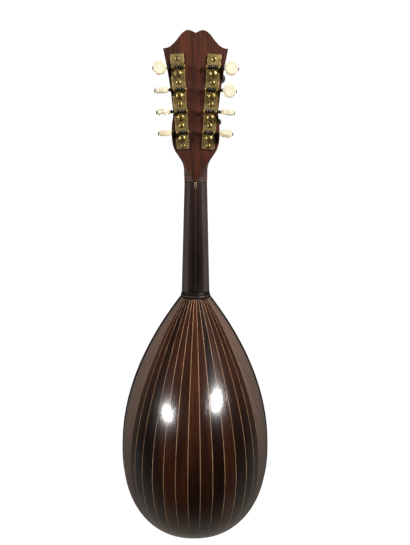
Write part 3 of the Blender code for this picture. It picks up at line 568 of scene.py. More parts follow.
def cut(piece, tool, operation="DIFFERENCE"):
    """Cut a piece with a tool, and put the tool away."""
    saw = piece.modifiers.new("cut", "BOOLEAN")
    saw.operation = operation
    saw.solver = "EXACT"
    saw.object = tool
    apply_modifiers(piece)
    bpy.data.objects.remove(tool, do_unlink=True)
    return piece


def oval_loop(half, centre_z, corners=96):
    """An ellipse as points of an outline."""
    turns = [2 * math.pi * i / corners for i in range(corners)]
    return [(half[0] * math.cos(a), centre_z + half[1] * math.sin(a), True) for a in turns]


spruce = wood(
    "spruce_varnished", ("#ba8648", "#cf9d5b", "#d6aa69"), streak=(0.0013, 0.40), pore=(0.0008, 0.30),
    roughness=0.42, polish=0.3, quartered=True
)
board = laid_sheet("soundboard_spruce", 40, rim_steps, board_point)
thickened(board, board_thick)
cut(board, sawn_plate("hole_saw", [oval_loop(hole_half, hole_z)], -0.01, 0.02, smooth=1))
fit_piece(board, spruce, "instrument", "spruce", "soundboard")


def run_along(name, path, loop):
    """A strip with one section, a loop of (out, up) points, run along a path of frames."""
    rows = len(path) - 1

    def point(u, v):
        place, out, up = path[round(v * rows)]
        spot = loop[round(u * len(loop)) % len(loop)]
        return place + out * spot[0] + up * spot[1]

    strip = laid_sheet(name, len(loop), rows, point)
    tidy_mesh(strip)
    return strip


def bowed(value, power):
    """A cosine or sine drawn out towards 1, as a rounded square's is."""
    return math.copysign(abs(value) ** (2 / power), value)


def rounded_loop(low, high, corners=20, power=6.0):
    """A section with rounded corners between two (out, up) corners."""
    loop = []
    for i in range(corners):
        angle = 2 * math.pi * (i + 0.5) / corners
        shares = (bowed(math.cos(angle), power), bowed(math.sin(angle), power))
        loop.append([(a + b + share * (b - a)) / 2 for a, b, share in zip(low, high, shares)])
    return loop


rim_path = []
for side, order in ((1, range(rim_steps + 1)), (-1, range(rim_steps, -1, -1))):
    for step in order:
        place, out = rim_frame(board_station(step / rim_steps), side)
        place.y = board_y(place.z)
        rim_path.append((place, out, Vector((0, 1, 0))))

# Dyed pearwood edging, ebony black: close grained, so its polish shows one soft gleam.
edging = wood(
    "pearwood_dyed_black", ("#080504", "#0f0908", "#19100d"), streak=(0.002, 0.05), pore=(0.0005, 0.005),
    roughness=0.45, polish=0.1, gleam=0.25
)
binding = run_along("rim_edging", rim_path, rounded_loop((-0.0010, 0.0), (0.0020, board_thick)))
fit_piece(binding, edging, "instrument", "ebonised_trim", "rim_binding")

inlay_proud, inlay_deep = 0.00005, 0.0006
inlay_strips = (
    ("purfling_light", -0.0021, -0.0013, line_wood),
    ("purfling_dark", -0.0032, -0.0021, edging),
    ("purfling_light_inner", -0.0040, -0.0032, line_wood),
)
for name, inner, outer, finish in inlay_strips:
    low, high = board_thick - inlay_deep, board_thick + inlay_proud
    strip = run_along(name, rim_path, [(outer, low), (outer, high), (inner, high), (inner, low)])
    fit_piece(strip, finish, "instrument", "ebonised_trim")

# Rosette: black mastic in an oval channel with pearl lozenges set in it, between two light
# rings; generic trade work of the kind that was bought by the dozen.
rosette_wide, ring_wide = 0.0070, 0.0008
lozenge_count, lozenge_half, lozenge_thick = 38, (0.0020, 0.0011), 0.0006


def mottled(name, dark, light, flecks, detail, values, distortion=0.0, edges=(0.0, 1.0)):
    """A material of two tones mixed in flecks; flecks is how many fill a metre in X, Y and Z."""
    made, tree, inputs = material(name, values)
    place_on = node(tree, "TexCoord", {}).outputs["Object"]
    counted = node(tree, "Mapping", {"Scale": flecks}, {"Vector": place_on})
    clouds = {"Scale": 1.0, "Detail": detail, "Distortion": distortion}
    noise = node(tree, "TexNoise", clouds, {"Vector": counted})
    share = node(tree, "MapRange", {"From Min": edges[0], "From Max": edges[1]}, {"Value": noise})
    tint = node(tree, "Mix", {"data_type": "RGBA", 6: colour(dark), 7: colour(light)}, {0: share})
    tree.links.new(tint.outputs[2], inputs["Base Color"])
    return made


# The mastic is a smooth black filling, and the pearl drifts from green-grey to warm white.
mastic = mottled("black_mastic", "#0b0909", "#1b1614", (900, 900, 900), 2.0, {"Roughness": 0.35})
pearl_values = {"Roughness": 0.18, "Coat Weight": 0.7}
pearl = mottled("mother_of_pearl", "#cfd8cc", "#e9dfd6", (420, 420, 420), 2.0, pearl_values, distortion=1.5)

rosette_half = [r + rosette_wide for r in hole_half]
inlay_low = board_thick - 0.0010
ring_sizes = (
    ("rosette_mastic", ring_wide, rosette_wide - ring_wide, 0.00005, mastic),
    ("rosette_ring_outer", rosette_wide - ring_wide, rosette_wide, 0.00006, line_wood),
    ("rosette_ring_inner", 0.0, ring_wide, 0.00006, line_wood),
)
for name, inner, outer, proud, finish in ring_sizes:
    loops = [oval_loop([r + grow for r in hole_half], hole_z) for grow in (outer, inner)]
    ring = sawn_plate(name, loops, inlay_low, board_thick + proud, smooth=1)
    stands = ("rosette",) if name == "rosette_mastic" else ()
    fit_piece(ring, finish, "instrument", "rosette_inlay", *stands)


def rod(radius, long, place, sides=32):
    """A plain rod, put in place by a matrix."""
    bpy.ops.mesh.primitive_cylinder_add(vertices=sides, radius=radius, depth=long)
    made = bpy.context.object
    made.data.transform(place)
    return made


def joined(name, pieces):
    """Make one piece of several."""
    bpy.ops.object.select_all(action="DESELECT")
    for piece in pieces:
        piece.select_set(True)
    bpy.context.view_layer.objects.active = pieces[0]
    if len(pieces) > 1:
        bpy.ops.object.join()
    made = bpy.context.object
    made.name = made.data.name = name
    return made


lozenges = []
for index in range(lozenge_count):
    turn = 2 * math.pi * index / lozenge_count
    middle = [r + rosette_wide / 2 for r in hole_half]
    centre = (middle[0] * math.cos(turn), board_thick + 0.00008, hole_z + middle[1] * math.sin(turn))
    out = Vector((math.cos(turn) * middle[1], 0, math.sin(turn) * middle[0])).normalized()
    stand = shift(*centre) @ spin(-math.atan2(out.z, out.x), "Y") @ spin(math.pi / 2, "X")
    lozenges.append(rod(1.0, lozenge_thick, stand @ Matrix.Diagonal((*lozenge_half, 1.0, 1.0)), sides=4))
lozenge = joined("rosette_pearl", lozenges)
tidy_mesh(lozenge)
fit_piece(lozenge, pearl, "instrument", "rosette_inlay")

# Scratch plate: a thin piece of tortoise-coloured celluloid let in below the sound hole. It
# is a deep red-brown with near-black clouds, and polished flat.
guard_top = hole_z - rosette_half[1] - 0.0012
guard_half = [
    (0.0180, guard_top, True), (0.0325, guard_top + 0.0120, True), (0.0330, -0.2800, True),
    (0.0300, -0.2920), (0.0230, -0.3015), (0.0090, -0.3080), (0.0, -0.3170),
]


def mirrored(half):
    """A whole outline from its right half, given from top to bottom."""
    return list(half) + [(-spot[0], *spot[1:]) for spot in reversed(half) if spot[0] > 0]


celluloid_values = {"Roughness": 0.12, "Coat Weight": 0.5}
celluloid = mottled(
    "celluloid_tortoise", "#1c0906", "#5e2410", (85, 85, 85), 3.0, celluloid_values, 0.8, edges=(0.42, 0.58)
)
guard = sawn_plate("scratch_plate", [mirrored(guard_half)], inlay_low, board_thick + 0.0002, rounding=0.0002)
fit_piece(guard, celluloid, "instrument", "guard_celluloid", "pickguard")


# Tail clasp: a saddle of dark wood, bent over the ends of the ribs under the tailpiece, glued
# down and polished like them.
clasp_start = 0.3023
clasp_from, clasp_sweep = math.radians(8), math.radians(164)
clasp_proud, clasp_thick = 0.0019, 0.0013
clasp_middle, clasp_size = (0, -0.015, joint_z - 0.305), (0.060, 0.042, 0.05)


def clasp_point(u, v):
    s = clasp_start + (body_end - clasp_start) * v
    turn = clasp_from + clasp_sweep * u
    here = bowl_point(s, turn)
    across = bowl_point(s, turn + 0.01) - bowl_point(s, turn - 0.01)
    along = bowl_point(min(body_end, s + 0.0004), turn) - bowl_point(s - 0.0004, turn)
    return here + across.cross(along).normalized() * clasp_proud


def block(middle, size):
    """A block to cut with."""
    bpy.ops.mesh.primitive_cube_add(size=1, location=middle)
    bpy.context.object.scale = size
    return bpy.context.object


clasp = laid_sheet("tail_clasp_polished", 60, 16, clasp_point)
thickened(clasp, clasp_thick)
cut(clasp, block(clasp_middle, clasp_size), "INTERSECT")
clasp_wood = wood(
    "rosewood_black_polished", ("#0e0807", "#1c100d", "#2c1a14"), streak=(0.0014, 0.03),
    pore=(0.0004, 0.004), roughness=0.3, polish=0.9, lean=math.pi / 2
)
fit_piece(clasp, clasp_wood, "instrument", "side_wood", "tail_clasp")


# Neck: poplar under a thick dark rosewood veneer, rounded behind, with one light line down
# the middle of its back. The veneer is lighter towards the nut, and a sheen is painted in
# grey along its edges. The heel swings out to the depth of the bowl.
neck_half_nut, neck_half_joint = 0.0148, 0.0185
neck_top = board_thick
neck_back_nut, neck_taper = -0.0160, 0.0025
heel_start, heel_swing, heel_power = 0.112, 0.0106, 2.4
neck_power = 2.2
back_share = 0.8
neck_tone, neck_gain, tone_fade = -0.1, 0.50, (-0.02, -0.14)
painted_sheen_from, painted_sheen_over, painted_sheen_gain = 0.45, 0.25, 1.5


def neck_half(z):
    """The neck's half width at z."""
    return neck_half_nut + (neck_half_joint - neck_half_nut) * z / joint_z


def neck_back(z):
    """The level of the neck's back at z."""
    heel = max(0.0, (-z - heel_start) / (-joint_z - heel_start))
    return neck_back_nut - neck_taper * z / joint_z - heel_swing * heel**heel_power


def neck_section(u, z, grow=0.0):
    """A D-shaped section: u up to back_share goes round the back, and the rest across the front."""
    half, back = neck_half(z) + grow, neck_back(z) - grow
    if u > back_share:
        return Vector((half * (2 * (u - back_share) / (1 - back_share) - 1), neck_top, z))
    angle = math.pi * u / back_share
    deep = bowed(math.sin(angle), neck_power)
    return Vector((half * bowed(math.cos(angle), neck_power), neck_top - (neck_top - back) * deep, z))


band_long, band_thick = 0.0070, 0.0018
neck_end = joint_z + hair * 2 + band_long
# Its grey lightest shade is the painted sheen along the neck's edges.
neck_wood = wood(
    "rosewood_veneer_neck", ("#050202", "#120806", "#36201b", "#443a39"), streak=(0.0016, 0.060),
    pore=(0.0006, 0.010), roughness=0.60, gleam=0.08, follows="grain", tones=True
)
neck = laid_sheet("neck_veneered", 60, 90, lambda u, v: neck_section(u, -hair + (neck_end + hair) * v))
tidy_mesh(neck)
set_tone(neck, neck_tone, neck_gain, *tone_fade)
# Painted sheen: the tone rises towards the neck's edges and turns them grey.
for vert in neck.data.vertices:
    aside = min(1.0, max(0.0, (abs(vert.co.x) / neck_half(vert.co.z) - painted_sheen_from) / painted_sheen_over))
    neck.data.attributes["tone"].data[vert.index].value += painted_sheen_gain * aside
fit_piece(neck, neck_wood, "instrument", "neck_veneer", "neck")


neck_line_start, neck_line_proud = -0.0008, 0.00003
neck_line_wide, head_end_wide, head_end_share = 0.00062, 0.0022, 0.055
line_tone, line_gain = -0.2, 1.1


def neck_line_point(u, v):
    z = neck_line_start + (neck_end + 0.0010) * v
    wide = head_end_wide if v < head_end_share else neck_line_wide
    return Vector(((0.5 - u) * wide, neck_back(z) - neck_line_proud, z))


neck_line = laid_sheet("neck_centre_line", 2, 90, neck_line_point)
thickened(neck_line, 0.0005)
# Holly that dirt has turned grey-brown; the line is darker towards the bowl.
worn_line = wood(
    "holly_line_worn", ("#1a100c", "#2b1d18", "#57443a"), streak=(0.0010, 0.008), pore=(0.0004, 0.004),
    roughness=0.45, follows="grain", tones=True
)
set_tone(neck_line, line_tone, line_gain, *tone_fade)
fit_piece(neck_line, worn_line, "instrument", "neck_veneer")


def soften(piece, width, segments=3):
    """Round a piece's edges off."""
    soft = piece.modifiers.new("soft_edges", "BEVEL")
    soft.width = width
    soft.segments = segments
    apply_modifiers(piece)


def bar(name, low, high, rounding):
    """A bar between two corners with rounded edges."""
    low, high = Vector(low), Vector(high)
    bpy.ops.mesh.primitive_cube_add(size=1)
    made = bpy.context.object
    made.name = made.data.name = name
    made.data.transform(Matrix.Translation((low + high) / 2) @ Matrix.Diagonal((*(high - low), 1)))
    soften(made, rounding)
    return made


end_aside, end_wide, end_thick = 0.0011, 0.0009, 0.0006
end_low, end_high = -0.0080, -0.0006
for side_name, side in (("left", -1), ("right", 1)):
    low = (side * end_aside - end_wide / 2, 0, 0)
    high = (side * end_aside + end_wide / 2, end_thick, end_high - end_low)
    end = bar(f"neck_line_end_{side_name}", low, high, 0.0001)
    end.data.transform(shift(0, neck_back(end_high) - 0.00008, end_low))
    fit_piece(end, line_wood, "instrument", "neck_veneer")


# Heel band: a collar of black pearwood, bent round the foot of the neck where the ribs end.
# It flares towards the ribs, and a dark holly line is let in near its lower edge.
band_flare = 0.0014
band_line_low, band_line_wide, band_line_out = 0.0016, 0.0011, 0.0013


def band_point(u, v):
    z = joint_z + hair + band_long * (1 - v)
    return neck_section(u * back_share, z, hair + band_flare * v * v)


band = laid_sheet("heel_band_black", 60, 10, band_point)
thickened(band, band_thick)
fit_piece(band, edging, "instrument", "ebonised_trim", "heel_band")


def band_line_point(u, v):
    z = joint_z + hair + band_line_low + band_line_wide * (1 - v)
    return neck_section(u * back_share, z, band_line_out)


band_line = laid_sheet("heel_band_line", 60, 2, band_line_point)
thickened(band_line, 0.0007)
band_line_wood = wood(
    "holly_line_dark", ("#1f1813", "#3b2e26", "#5c4a3d"), streak=(0.004, 0.004), pore=(0.0004, 0.002),
    roughness=0.5
)
fit_piece(band_line, band_line_wood, "instrument", "ebonised_trim")

# Nut: a bar of polished bone with rounded edges, glued across the end of the neck against
# the fretboard. It is a warm white with faint streaks along it, and a notch is filed into it
# for each string.
bone_values = {"Roughness": 0.35, "Subsurface Weight": 0.1, "Subsurface Scale": 0.001}
bone = mottled("bone_polished", "#d6c79c", "#ebe2c6", (300, 1500, 1500), 2.0, bone_values)

fretboard_low = neck_top + hair
nut_top, nut_long = 0.0076, 0.0050
nut_half = neck_half(0) - hair


def string_places(courses, apart):
    """Where the strings cross a bar, two to a course."""
    return [side * (x + pair * apart) for side in (-1, 1) for x in courses for pair in (-1, 1)]


def notch(piece, places, top, z, radius=0.0004):
    """File a notch for each string into a bar, along Z."""
    for x in places:
        bpy.ops.mesh.primitive_cylinder_add(vertices=12, radius=radius, depth=0.02, location=(x, top, z))
        bpy.ops.object.transform_apply(location=True, rotation=True, scale=True)
        cut(piece, bpy.context.object)


nut = bar("nut_bone", (-nut_half, fretboard_low, hair), (nut_half, nut_top, nut_long), 0.0006)
notch(nut, string_places((0.0106, 0.0035), 0.00095), nut_top + 0.00025, nut_long / 2)
fit_piece(nut, bone, "instrument", "bone", "nut")

# Fretboard: dark rosewood, oiled to a dull shine, with let-in frets of bright nickel silver
# and pearl dots. It runs on over the soundboard to the sound hole.
fret_top = fretboard_low + 0.0034
fret_count = 17


def fret_z(number):
    return -scale_long * (1 - 2 ** (-number / 12))


board_end = fret_z(fret_count) - 0.0040
fretboard_half = [
    (neck_half(0), 0.0, True), (neck_half(board_end), board_end, True),
    (neck_half(board_end) * 0.55, board_end - 0.0012), (0.0, board_end - 0.0030),
]
fretboard_wood = wood(
    "rosewood_oiled", ("#140b08", "#24140f", "#3a2116"), streak=(0.0010, 0.04), pore=(0.0003, 0.004),
    roughness=0.5
)
fretboard_loops = [mirrored(fretboard_half)]
fretboard = sawn_plate("fretboard_rosewood", fretboard_loops, fretboard_low, fret_top, rounding=0.0003)
fit_piece(fretboard, fretboard_wood, "instrument", "fretboard_wood", "fretboard")


def metal(name, shades, roughness, size, worn):
    """A metal with tarnish clouds of a real size in metres, which are rougher by worn."""
    made, tree, inputs = material(name, {"Metallic": 1.0})
    place_on = node(tree, "TexCoord", {}).outputs["Object"]
    grit = {"Scale": 1 / size, "Detail": 5.0, "Roughness": 0.65}
    clouds = node(tree, "TexNoise", grit, {"Vector": place_on})
    spread = node(tree, "MapRange", {"From Min": 0.38, "From Max": 0.62}, {"Value": clouds})
    tarnished, clean = [colour(shade) for shade in shades]
    tint = node(tree, "Mix", {"data_type": "RGBA", 6: tarnished, 7: clean}, {0: spread})
    dull = node(tree, "MapRange", {"To Min": roughness + worn, "To Max": roughness}, {"Value": spread})
    tree.links.new(tint.outputs[2], inputs["Base Color"])
    tree.links.new(dull.outputs[0], inputs["Roughness"])
    return made


nickel = metal("nickel_silver_drawn", ("#9d978a", "#c9c4b8"), 0.25, 0.004, 0.1)
bpy.ops.mesh.primitive_cylinder_add(vertices=20, radius=1.0, depth=2.0)
fret_master = bpy.context.object
fret_master.data.transform(spin(math.pi / 2, "Y"))
bpy.ops.object.mode_set(mode="EDIT")
bpy.ops.mesh.select_all(action="SELECT")
bpy.ops.mesh.bisect(plane_co=(0, -0.1, 0), plane_no=(0, 1, 0), use_fill=True, clear_inner=True)
bpy.ops.object.mode_set(mode="OBJECT")


def copied(master, name, matrix):
    """A copy of a modelled piece with its own mesh, put in place; a mirrored one faces out again."""
    made = master.copy()
    made.data = master.data.copy()
    made.name = made.data.name = name
    bpy.context.collection.objects.link(made)
    made.data.transform(matrix)
    if matrix.to_3x3().determinant() < 0:
        made.data.flip_normals()
    return made


fret_high, fret_half_wide = 0.0009, 0.0008
frets = []
for number in range(1, fret_count + 1):
    z = fret_z(number)
    size = Matrix.Diagonal((neck_half(z) - hair, fret_high, fret_half_wide, 1))
    frets.append(copied(fret_master, f"fret_{number}", shift(0, fret_top, z) @ size))
bpy.data.objects.remove(fret_master, do_unlink=True)
fit_piece(joined("frets", frets), nickel, "instrument", "fretboard_wood")
dot_radius, dot_thick = 0.0019, 0.0006
dots = []
for number in (5, 7, 10, 12, 15):
    z = (fret_z(number) + fret_z(number - 1)) / 2
    dots.append(rod(dot_radius, dot_thick, shift(0, fret_top - 0.00025, z) @ spin(math.pi / 2, "X")))
fit_piece(joined("position_dots", dots), pearl, "instrument", "fretboard_wood")


# Head: one piece of walnut, stained red-brown, sawn to a crested outline and tilted back.
# Towards the nut its back narrows to a dart, let into the neck's dark wood, whose two scooped
# wings lead from the neck's round to the head's flat.
head_tilt = math.radians(16.0)
head_thick = 0.0150
head_place = shift(0, neck_back_nut, 0) @ spin(head_tilt, "X")
head_half = [
    (0.0, 0.1654, True), (0.0081, 0.1681), (0.0132, 0.1665), (0.0237, 0.1560), (0.0304, 0.1509),
    (0.0371, 0.1494, True), (0.0313, 0.1184), (0.0280, 0.0925), (0.0270, 0.0790), (0.0287, 0.0670),
    (0.0291, 0.0560), (0.0281, 0.0450), (0.0257, 0.0380), (0.0212, 0.0310), (0.0169, 0.0240),
    (0.0149, 0.0165),
]
wings_end = 0.0275
head_plate = sawn_plate("headstock_wood", [mirrored(head_half + [(0.0147, 0.0040, True)])], 0.0, head_thick)
rim_spots = sorted((v.co.z, v.co.x) for v in head_plate.data.vertices if v.co.x > 0.01 and v.co.z < 0.040)
cut(head_plate, block((0, 0, wings_end - 0.05), (0.2, 0.2, 0.1)))


def head_half_at(t):
    """The head's half width at a distance from the nut, read off the sawn outline."""
    below = [spot for spot in rim_spots if spot[0] <= t] or [rim_spots[0]]
    above = [spot for spot in rim_spots if spot[0] > t] or [rim_spots[-1]]
    (low_t, low_x), (high_t, high_x) = below[-1], above[0]
    share = 0.0 if high_t <= low_t else (t - low_t) / (high_t - low_t)
    return low_x + (high_x - low_x) * share


dart_tip, dart_slope, dart_flare = 0.0024, 0.33, 7.3


def dart_half_at(t):
    """The dart's half width at a distance from the nut."""
    return dart_tip + dart_slope * t + dart_flare * t * t


root_start = hair / math.cos(head_tilt)
seat_end = nut_long - 0.0008
tilted_at, widening_at, hollow_at = 0.012, 0.010, 0.006
hollow, wing_fall = 0.8, 1.6
wall = 0.1


def root_point(u, v):
    """The head's root: its back is the dart, its sides the wings, its front the nut's seat."""
    t = root_start + (wings_end - root_start) * v
    tilt = head_tilt * min(1.0, t / tilted_at)
    out = Vector((0, math.cos(tilt), math.sin(tilt)))
    middle = Vector((0, neck_back_nut - t * math.sin(head_tilt), t * math.cos(head_tilt)))
    thick = (neck_top - middle.y) / out.y if middle.z < seat_end else head_thick
    half = max(neck_half_nut, head_half_at(t)) if t > widening_at else neck_half_nut
    dart = min(half, dart_half_at(t))
    side = thick * (1 - min(1.0, t / wings_end)) ** wing_fall
    power = neck_power - hollow * min(1.0, t / hollow_at)
    if u > back_share:
        return middle + out * thick + Vector((half * (2 * (u - back_share) / (1 - back_share) - 1), 0, 0))
    if u < wall:
        return middle + out * (thick + (side - thick) * u / wall) + Vector((half, 0, 0))
    if u > back_share - wall:
        return middle + out * (side + (thick - side) * (u - back_share + wall) / wall) + Vector((-half, 0, 0))
    turn = math.pi * (u - wall) / (back_share - 2 * wall)
    across = abs(bowed(math.cos(turn), power))
    x = math.copysign(dart * min(1.0, abs(math.cos(turn)) * 6) + (half - dart) * across, math.cos(turn))
    return middle + out * (side * (1 - bowed(math.sin(turn), power))) + Vector((x, 0, 0))


head_wood = wood(
    "walnut_stained_red", ("#140603", "#49200e", "#673016"), streak=(0.0011, 0.035), pore=(0.0011, 0.018),
    roughness=0.48, polish=0.15, coat=0.25, lean=head_tilt
)
# The wings are the neck's dark rosewood, painted lighter and greyer for a sheen.
wing_wood_painted_sheen = wood(
    "rosewood_veneer_wings_painted_sheen", ("#3a2822", "#533e37", "#6b5047"), streak=(0.0012, 0.060),
    pore=(0.0003, 0.006), roughness=0.50, gleam=0.20
)
root = laid_sheet("neck_wings", 80, 60, root_point)
tidy_mesh(root)
fit_piece(root, wing_wood_painted_sheen, "instrument", "head_wood", "headstock")
dart_steps = [0.0004 + (wings_end - 0.0002) * i / 12 for i in range(13)]
dart_half = [(min(head_half_at(t), dart_half_at(t)), t, True) for t in reversed(dart_steps)]
dart = sawn_plate("head_dart", [mirrored(dart_half)], -0.00006, 0.0030, smooth=1)
cut(head_plate, dart, "UNION")
head_plate.data.transform(head_place)
fit_piece(head_plate, head_wood, "instrument", "head_wood", "headstock")

# Face veneer: a thin sheet of dark rosewood glued over the head's front and cut to the same
# outline. It is oiled and not polished, so it hardly shines.
face_wood = wood(
    "rosewood_veneer_face", ("#100908", "#22120d", "#3c2015"), streak=(0.0012, 0.05), pore=(0.0003, 0.005),
    roughness=0.60, gleam=0.15, lean=head_tilt
)
face_low, face_thick = head_thick + hair, 0.0012
face_loops = [mirrored(head_half + [(0.0147, 0.0036, True)])]
face = sawn_plate("head_face_veneer", face_loops, head_thick, face_low + face_thick, rounding=0.0003)
face.data.transform(head_place)
fit_piece(face, face_wood, "instrument", "face_veneer", "head_veneer")

# Machines: on each side a pressed brass plate carries four steel worms in pairs of bent-up
# ears and, through the head, four string posts with a cut gear under a domed screw. Age has
# left dull clouds on the brass and blackened the steel.
gear_pitch = 0.02372
gear_z = [gear_pitch * (1.5 - k) for k in range(4)]
gear_high, worm_up = 0.0046, 0.0071
teeth, gear_radius = 14, 0.0051
worm_pitch = 2 * math.pi * gear_radius / teeth
ear_x, ear_radius, ear_thick, ear_hole = (-0.0071, 0.0049), 0.0024, 0.0011, 0.0016
button_out, button_radius = 0.0204, 0.0073
brass = metal("brass_rolled_aged", ("#8c7846", "#d6bd82"), 0.44, 0.005, 0.15)
gear_brass = metal("brass_cut_aged", ("#97814a", "#dcc27e"), 0.30, 0.003, 0.15)
steel = metal("steel_blackened", ("#282523", "#6d6862"), 0.30, 0.002, 0.2)


def lathe(name, profile, sides=32, axis="Y"):
    """A turned piece: profile is (place along the axis, radius) from end to end."""
    rows = len(profile) - 1

    def point(u, v):
        along, radius = profile[round(v * rows)]
        turn = 2 * math.pi * u
        if axis == "Y":
            return Vector((radius * math.cos(turn), along, radius * math.sin(turn)))
        return Vector((along, radius * math.cos(turn), radius * math.sin(turn)))

    made = laid_sheet(name, sides, rows, point)
    tidy_mesh(made)
    return made


def slot_screw(name, radius, rise, low):
    """A round-headed screw with its slot, its back at low, facing -Y."""
    dome = [(low, 0.0003), (low, radius)]
    for turn in (0.0, 0.35, 0.7, 1.05, 1.35):
        dome.append((low - rise * (0.3 + 0.7 * math.sin(turn)), radius * math.cos(turn)))
    dome.append((low - rise, 0.00008))
    return cut(lathe(name, dome), block((0, low - rise, 0), (radius * 2.6, rise * 0.9, radius * 0.30)))


plate_half, plate_low, plate_high, plate_thick, snip = 0.00775, -0.0482, 0.0566, 0.0012, 0.0007
plate_back = -hair - plate_thick
plate_corners = [
    (plate_half - snip, plate_high, True), (plate_half, plate_high - snip, True),
    (plate_half, plate_low + snip, True), (plate_half - snip, plate_low, True),
]
plate_loops = [mirrored(plate_corners)]
plate_master = sawn_plate("plate_master", plate_loops, plate_back, -hair, smooth=1, rounding=0.00025)
ears = []
for z in [z + worm_up for z in gear_z]:
    for x in ear_x:
        ear = rod(ear_radius, ear_thick, shift(x, -gear_high, z) @ spin(math.pi / 2, "Y"))
        foot_low = (x - ear_thick / 2, -gear_high, z - ear_radius)
        foot_high = (x + ear_thick / 2, -hair - 0.0004, z + ear_radius)
        ears.append(cut(ear, bar("ear_foot", foot_low, foot_high, 0.0001), "UNION"))
cut(plate_master, joined("ear_master", ears), "UNION")
for z in gear_z:
    hole = shift(0, -gear_high, z + worm_up) @ spin(math.pi / 2, "Y")
    cut(plate_master, rod(ear_hole, 0.03, hole, sides=24))

screw_z = [plate_high - 0.0053] + [z - 0.0089 for z in gear_z]
screw_master = slot_screw("screw_master", 0.0026, 0.0011, plate_back)

worm_low, worm_high = -14 / 6 * worm_pitch, 10 / 6 * worm_pitch
shaft_radius, worm_radius, worm_wave = 0.00125, 0.0020, 0.00055
tip = button_out + button_radius + hair
shaft_profile = [
    (ear_x[0] - 0.0016, 0.0006), (ear_x[0] - 0.0014, 0.0018), (ear_x[0] - 0.0007, 0.0018),
    (ear_x[0] - 0.0006, shaft_radius), (worm_low - 0.0002, shaft_radius), (0.0054, shaft_radius),
    (0.0056, 0.0019), (0.0066, 0.0019), (0.0068, shaft_radius), (0.0094, shaft_radius), (0.0098, 0.0021),
    (0.0112, 0.0021), (0.0118, shaft_radius), (tip, shaft_radius), (tip + 0.0001, 0.0022),
    (tip + 0.0006, 0.0020), (tip + 0.0009, 0.0010),
]
shaft_master = lathe("shaft_master", shaft_profile, 24, "X")


def worm_point(u, v):
    along = worm_low + (worm_high - worm_low) * v
    turn = 2 * math.pi * u
    fade = min(1.0, 8 * v, 8 * (1 - v))
    wave = math.cos(2 * math.pi * along / worm_pitch - turn)
    radius = worm_radius - worm_wave * (wave * fade + (1 - fade))
    return Vector((along, radius * math.sin(turn), -radius * math.cos(turn)))


# Bearing rings of brass on the shaft, outside its ears.
ring_radius, ring_bulge, ring_bore = 0.0016, 0.0007, 0.0011
ring_spots = ((ear_x[0] - 0.0017, ear_x[0] - 0.0006), (ear_x[1] + 0.0006, ear_x[1] + 0.0019))
rings = []
for start, end in ring_spots:
    ring_profile = [(start, ring_bore)]
    for i in range(7):
        rise = ring_bulge * math.sin(math.pi * i / 6) ** 0.5
        ring_profile.append((start + (end - start) * i / 6, ring_radius + rise))
    rings.append(lathe("ring", [*ring_profile, (end, ring_bore)], axis="X"))
ring_master = joined("ring_master", rings)
worm_master = laid_sheet("worm_master", 28, 130, worm_point)
tidy_mesh(worm_master)

tooth_half = ((0.00018, 0.00545), (0.00046, 0.00490), (0.00070, 0.00435))
tooth_shape = [(-across, radius) for across, radius in reversed(tooth_half)] + list(tooth_half)
slant = worm_pitch / (2 * math.pi * worm_radius) / gear_radius
gear_levels = ((-0.0013, 0.93), (-0.0010, 1.0), (0.0, 1.0), (0.0010, 1.0), (0.0013, 0.93))


def gear_point(u, v):
    level_y, size = gear_levels[round(v * (len(gear_levels) - 1))]
    index = round(u * teeth * len(tooth_shape)) % (teeth * len(tooth_shape))
    tooth, corner = divmod(index, len(tooth_shape))
    across, radius = tooth_shape[corner]
    radius *= size
    turn = 2 * math.pi * tooth / teeth + across / radius + slant * level_y
    return Vector((radius * math.sin(turn), level_y - gear_high, radius * math.cos(turn)))


gear_master = laid_sheet("gear_master", teeth * len(tooth_shape), len(gear_levels) - 1, gear_point)
tidy_mesh(gear_master)
hub_master = slot_screw("hub_master", 0.0039, 0.0018, -gear_high - 0.0013)
post_radius, post_top = 0.0027, face_low + face_thick + 0.0100
post_low, post_waist = -gear_high - 0.0010, post_radius - 0.0003
post_profile = [
    (post_low, 0.0020), (post_low, post_radius), (post_top - 0.0075, post_radius),
    (post_top - 0.0070, post_waist), (post_top - 0.0035, post_waist), (post_top - 0.0030, post_radius),
    (post_top - 0.0006, post_radius), (post_top, post_radius - 0.0006), (post_top, 0.0002),
]
post_master = lathe("post_master", post_profile)
ferrule_low, ferrule_bore = face_low + 0.0010, 0.0031
ferrule_profile = [
    (ferrule_low, ferrule_bore), (ferrule_low, 0.0048), (face_low + 0.0016, 0.0047),
    (face_low + 0.0022, 0.0040), (face_low + 0.0022, ferrule_bore), (ferrule_low, ferrule_bore),
]
ferrule_master = lathe("ferrule_master", ferrule_profile, sides=40)

# Buttons: round flattened knobs turned from ivory-coloured celluloid, pushed on the shafts
# with a neck. Handling has browned the rims.
ivory_values = {"Roughness": 0.28, "Subsurface Weight": 0.15, "Subsurface Scale": 0.002}
ivory = mottled("celluloid_ivory", "#efe5c0", "#fbf6e2", (260, 2200, 260), 3.0, ivory_values)
tree = ivory.node_tree
body_colour = tree.nodes["Principled BSDF"].inputs["Base Color"]
clean = body_colour.links[0].from_socket
place_on = node(tree, "TexCoord", {}).outputs["Object"]
patches = node(tree, "TexNoise", {"Scale": 320.0, "Detail": 3.0}, {"Vector": place_on})
handled = node(tree, "Attribute", {"attribute_name": "handled"}).outputs["Fac"]
stain = node(tree, "Math", {"operation": "MULTIPLY"}, {0: handled, 1: patches})
browned = node(tree, "Mix", {"data_type": "RGBA", 7: colour("#cfae74")}, {0: stain, 6: clean})
tree.links.new(browned.outputs[2], body_colour)

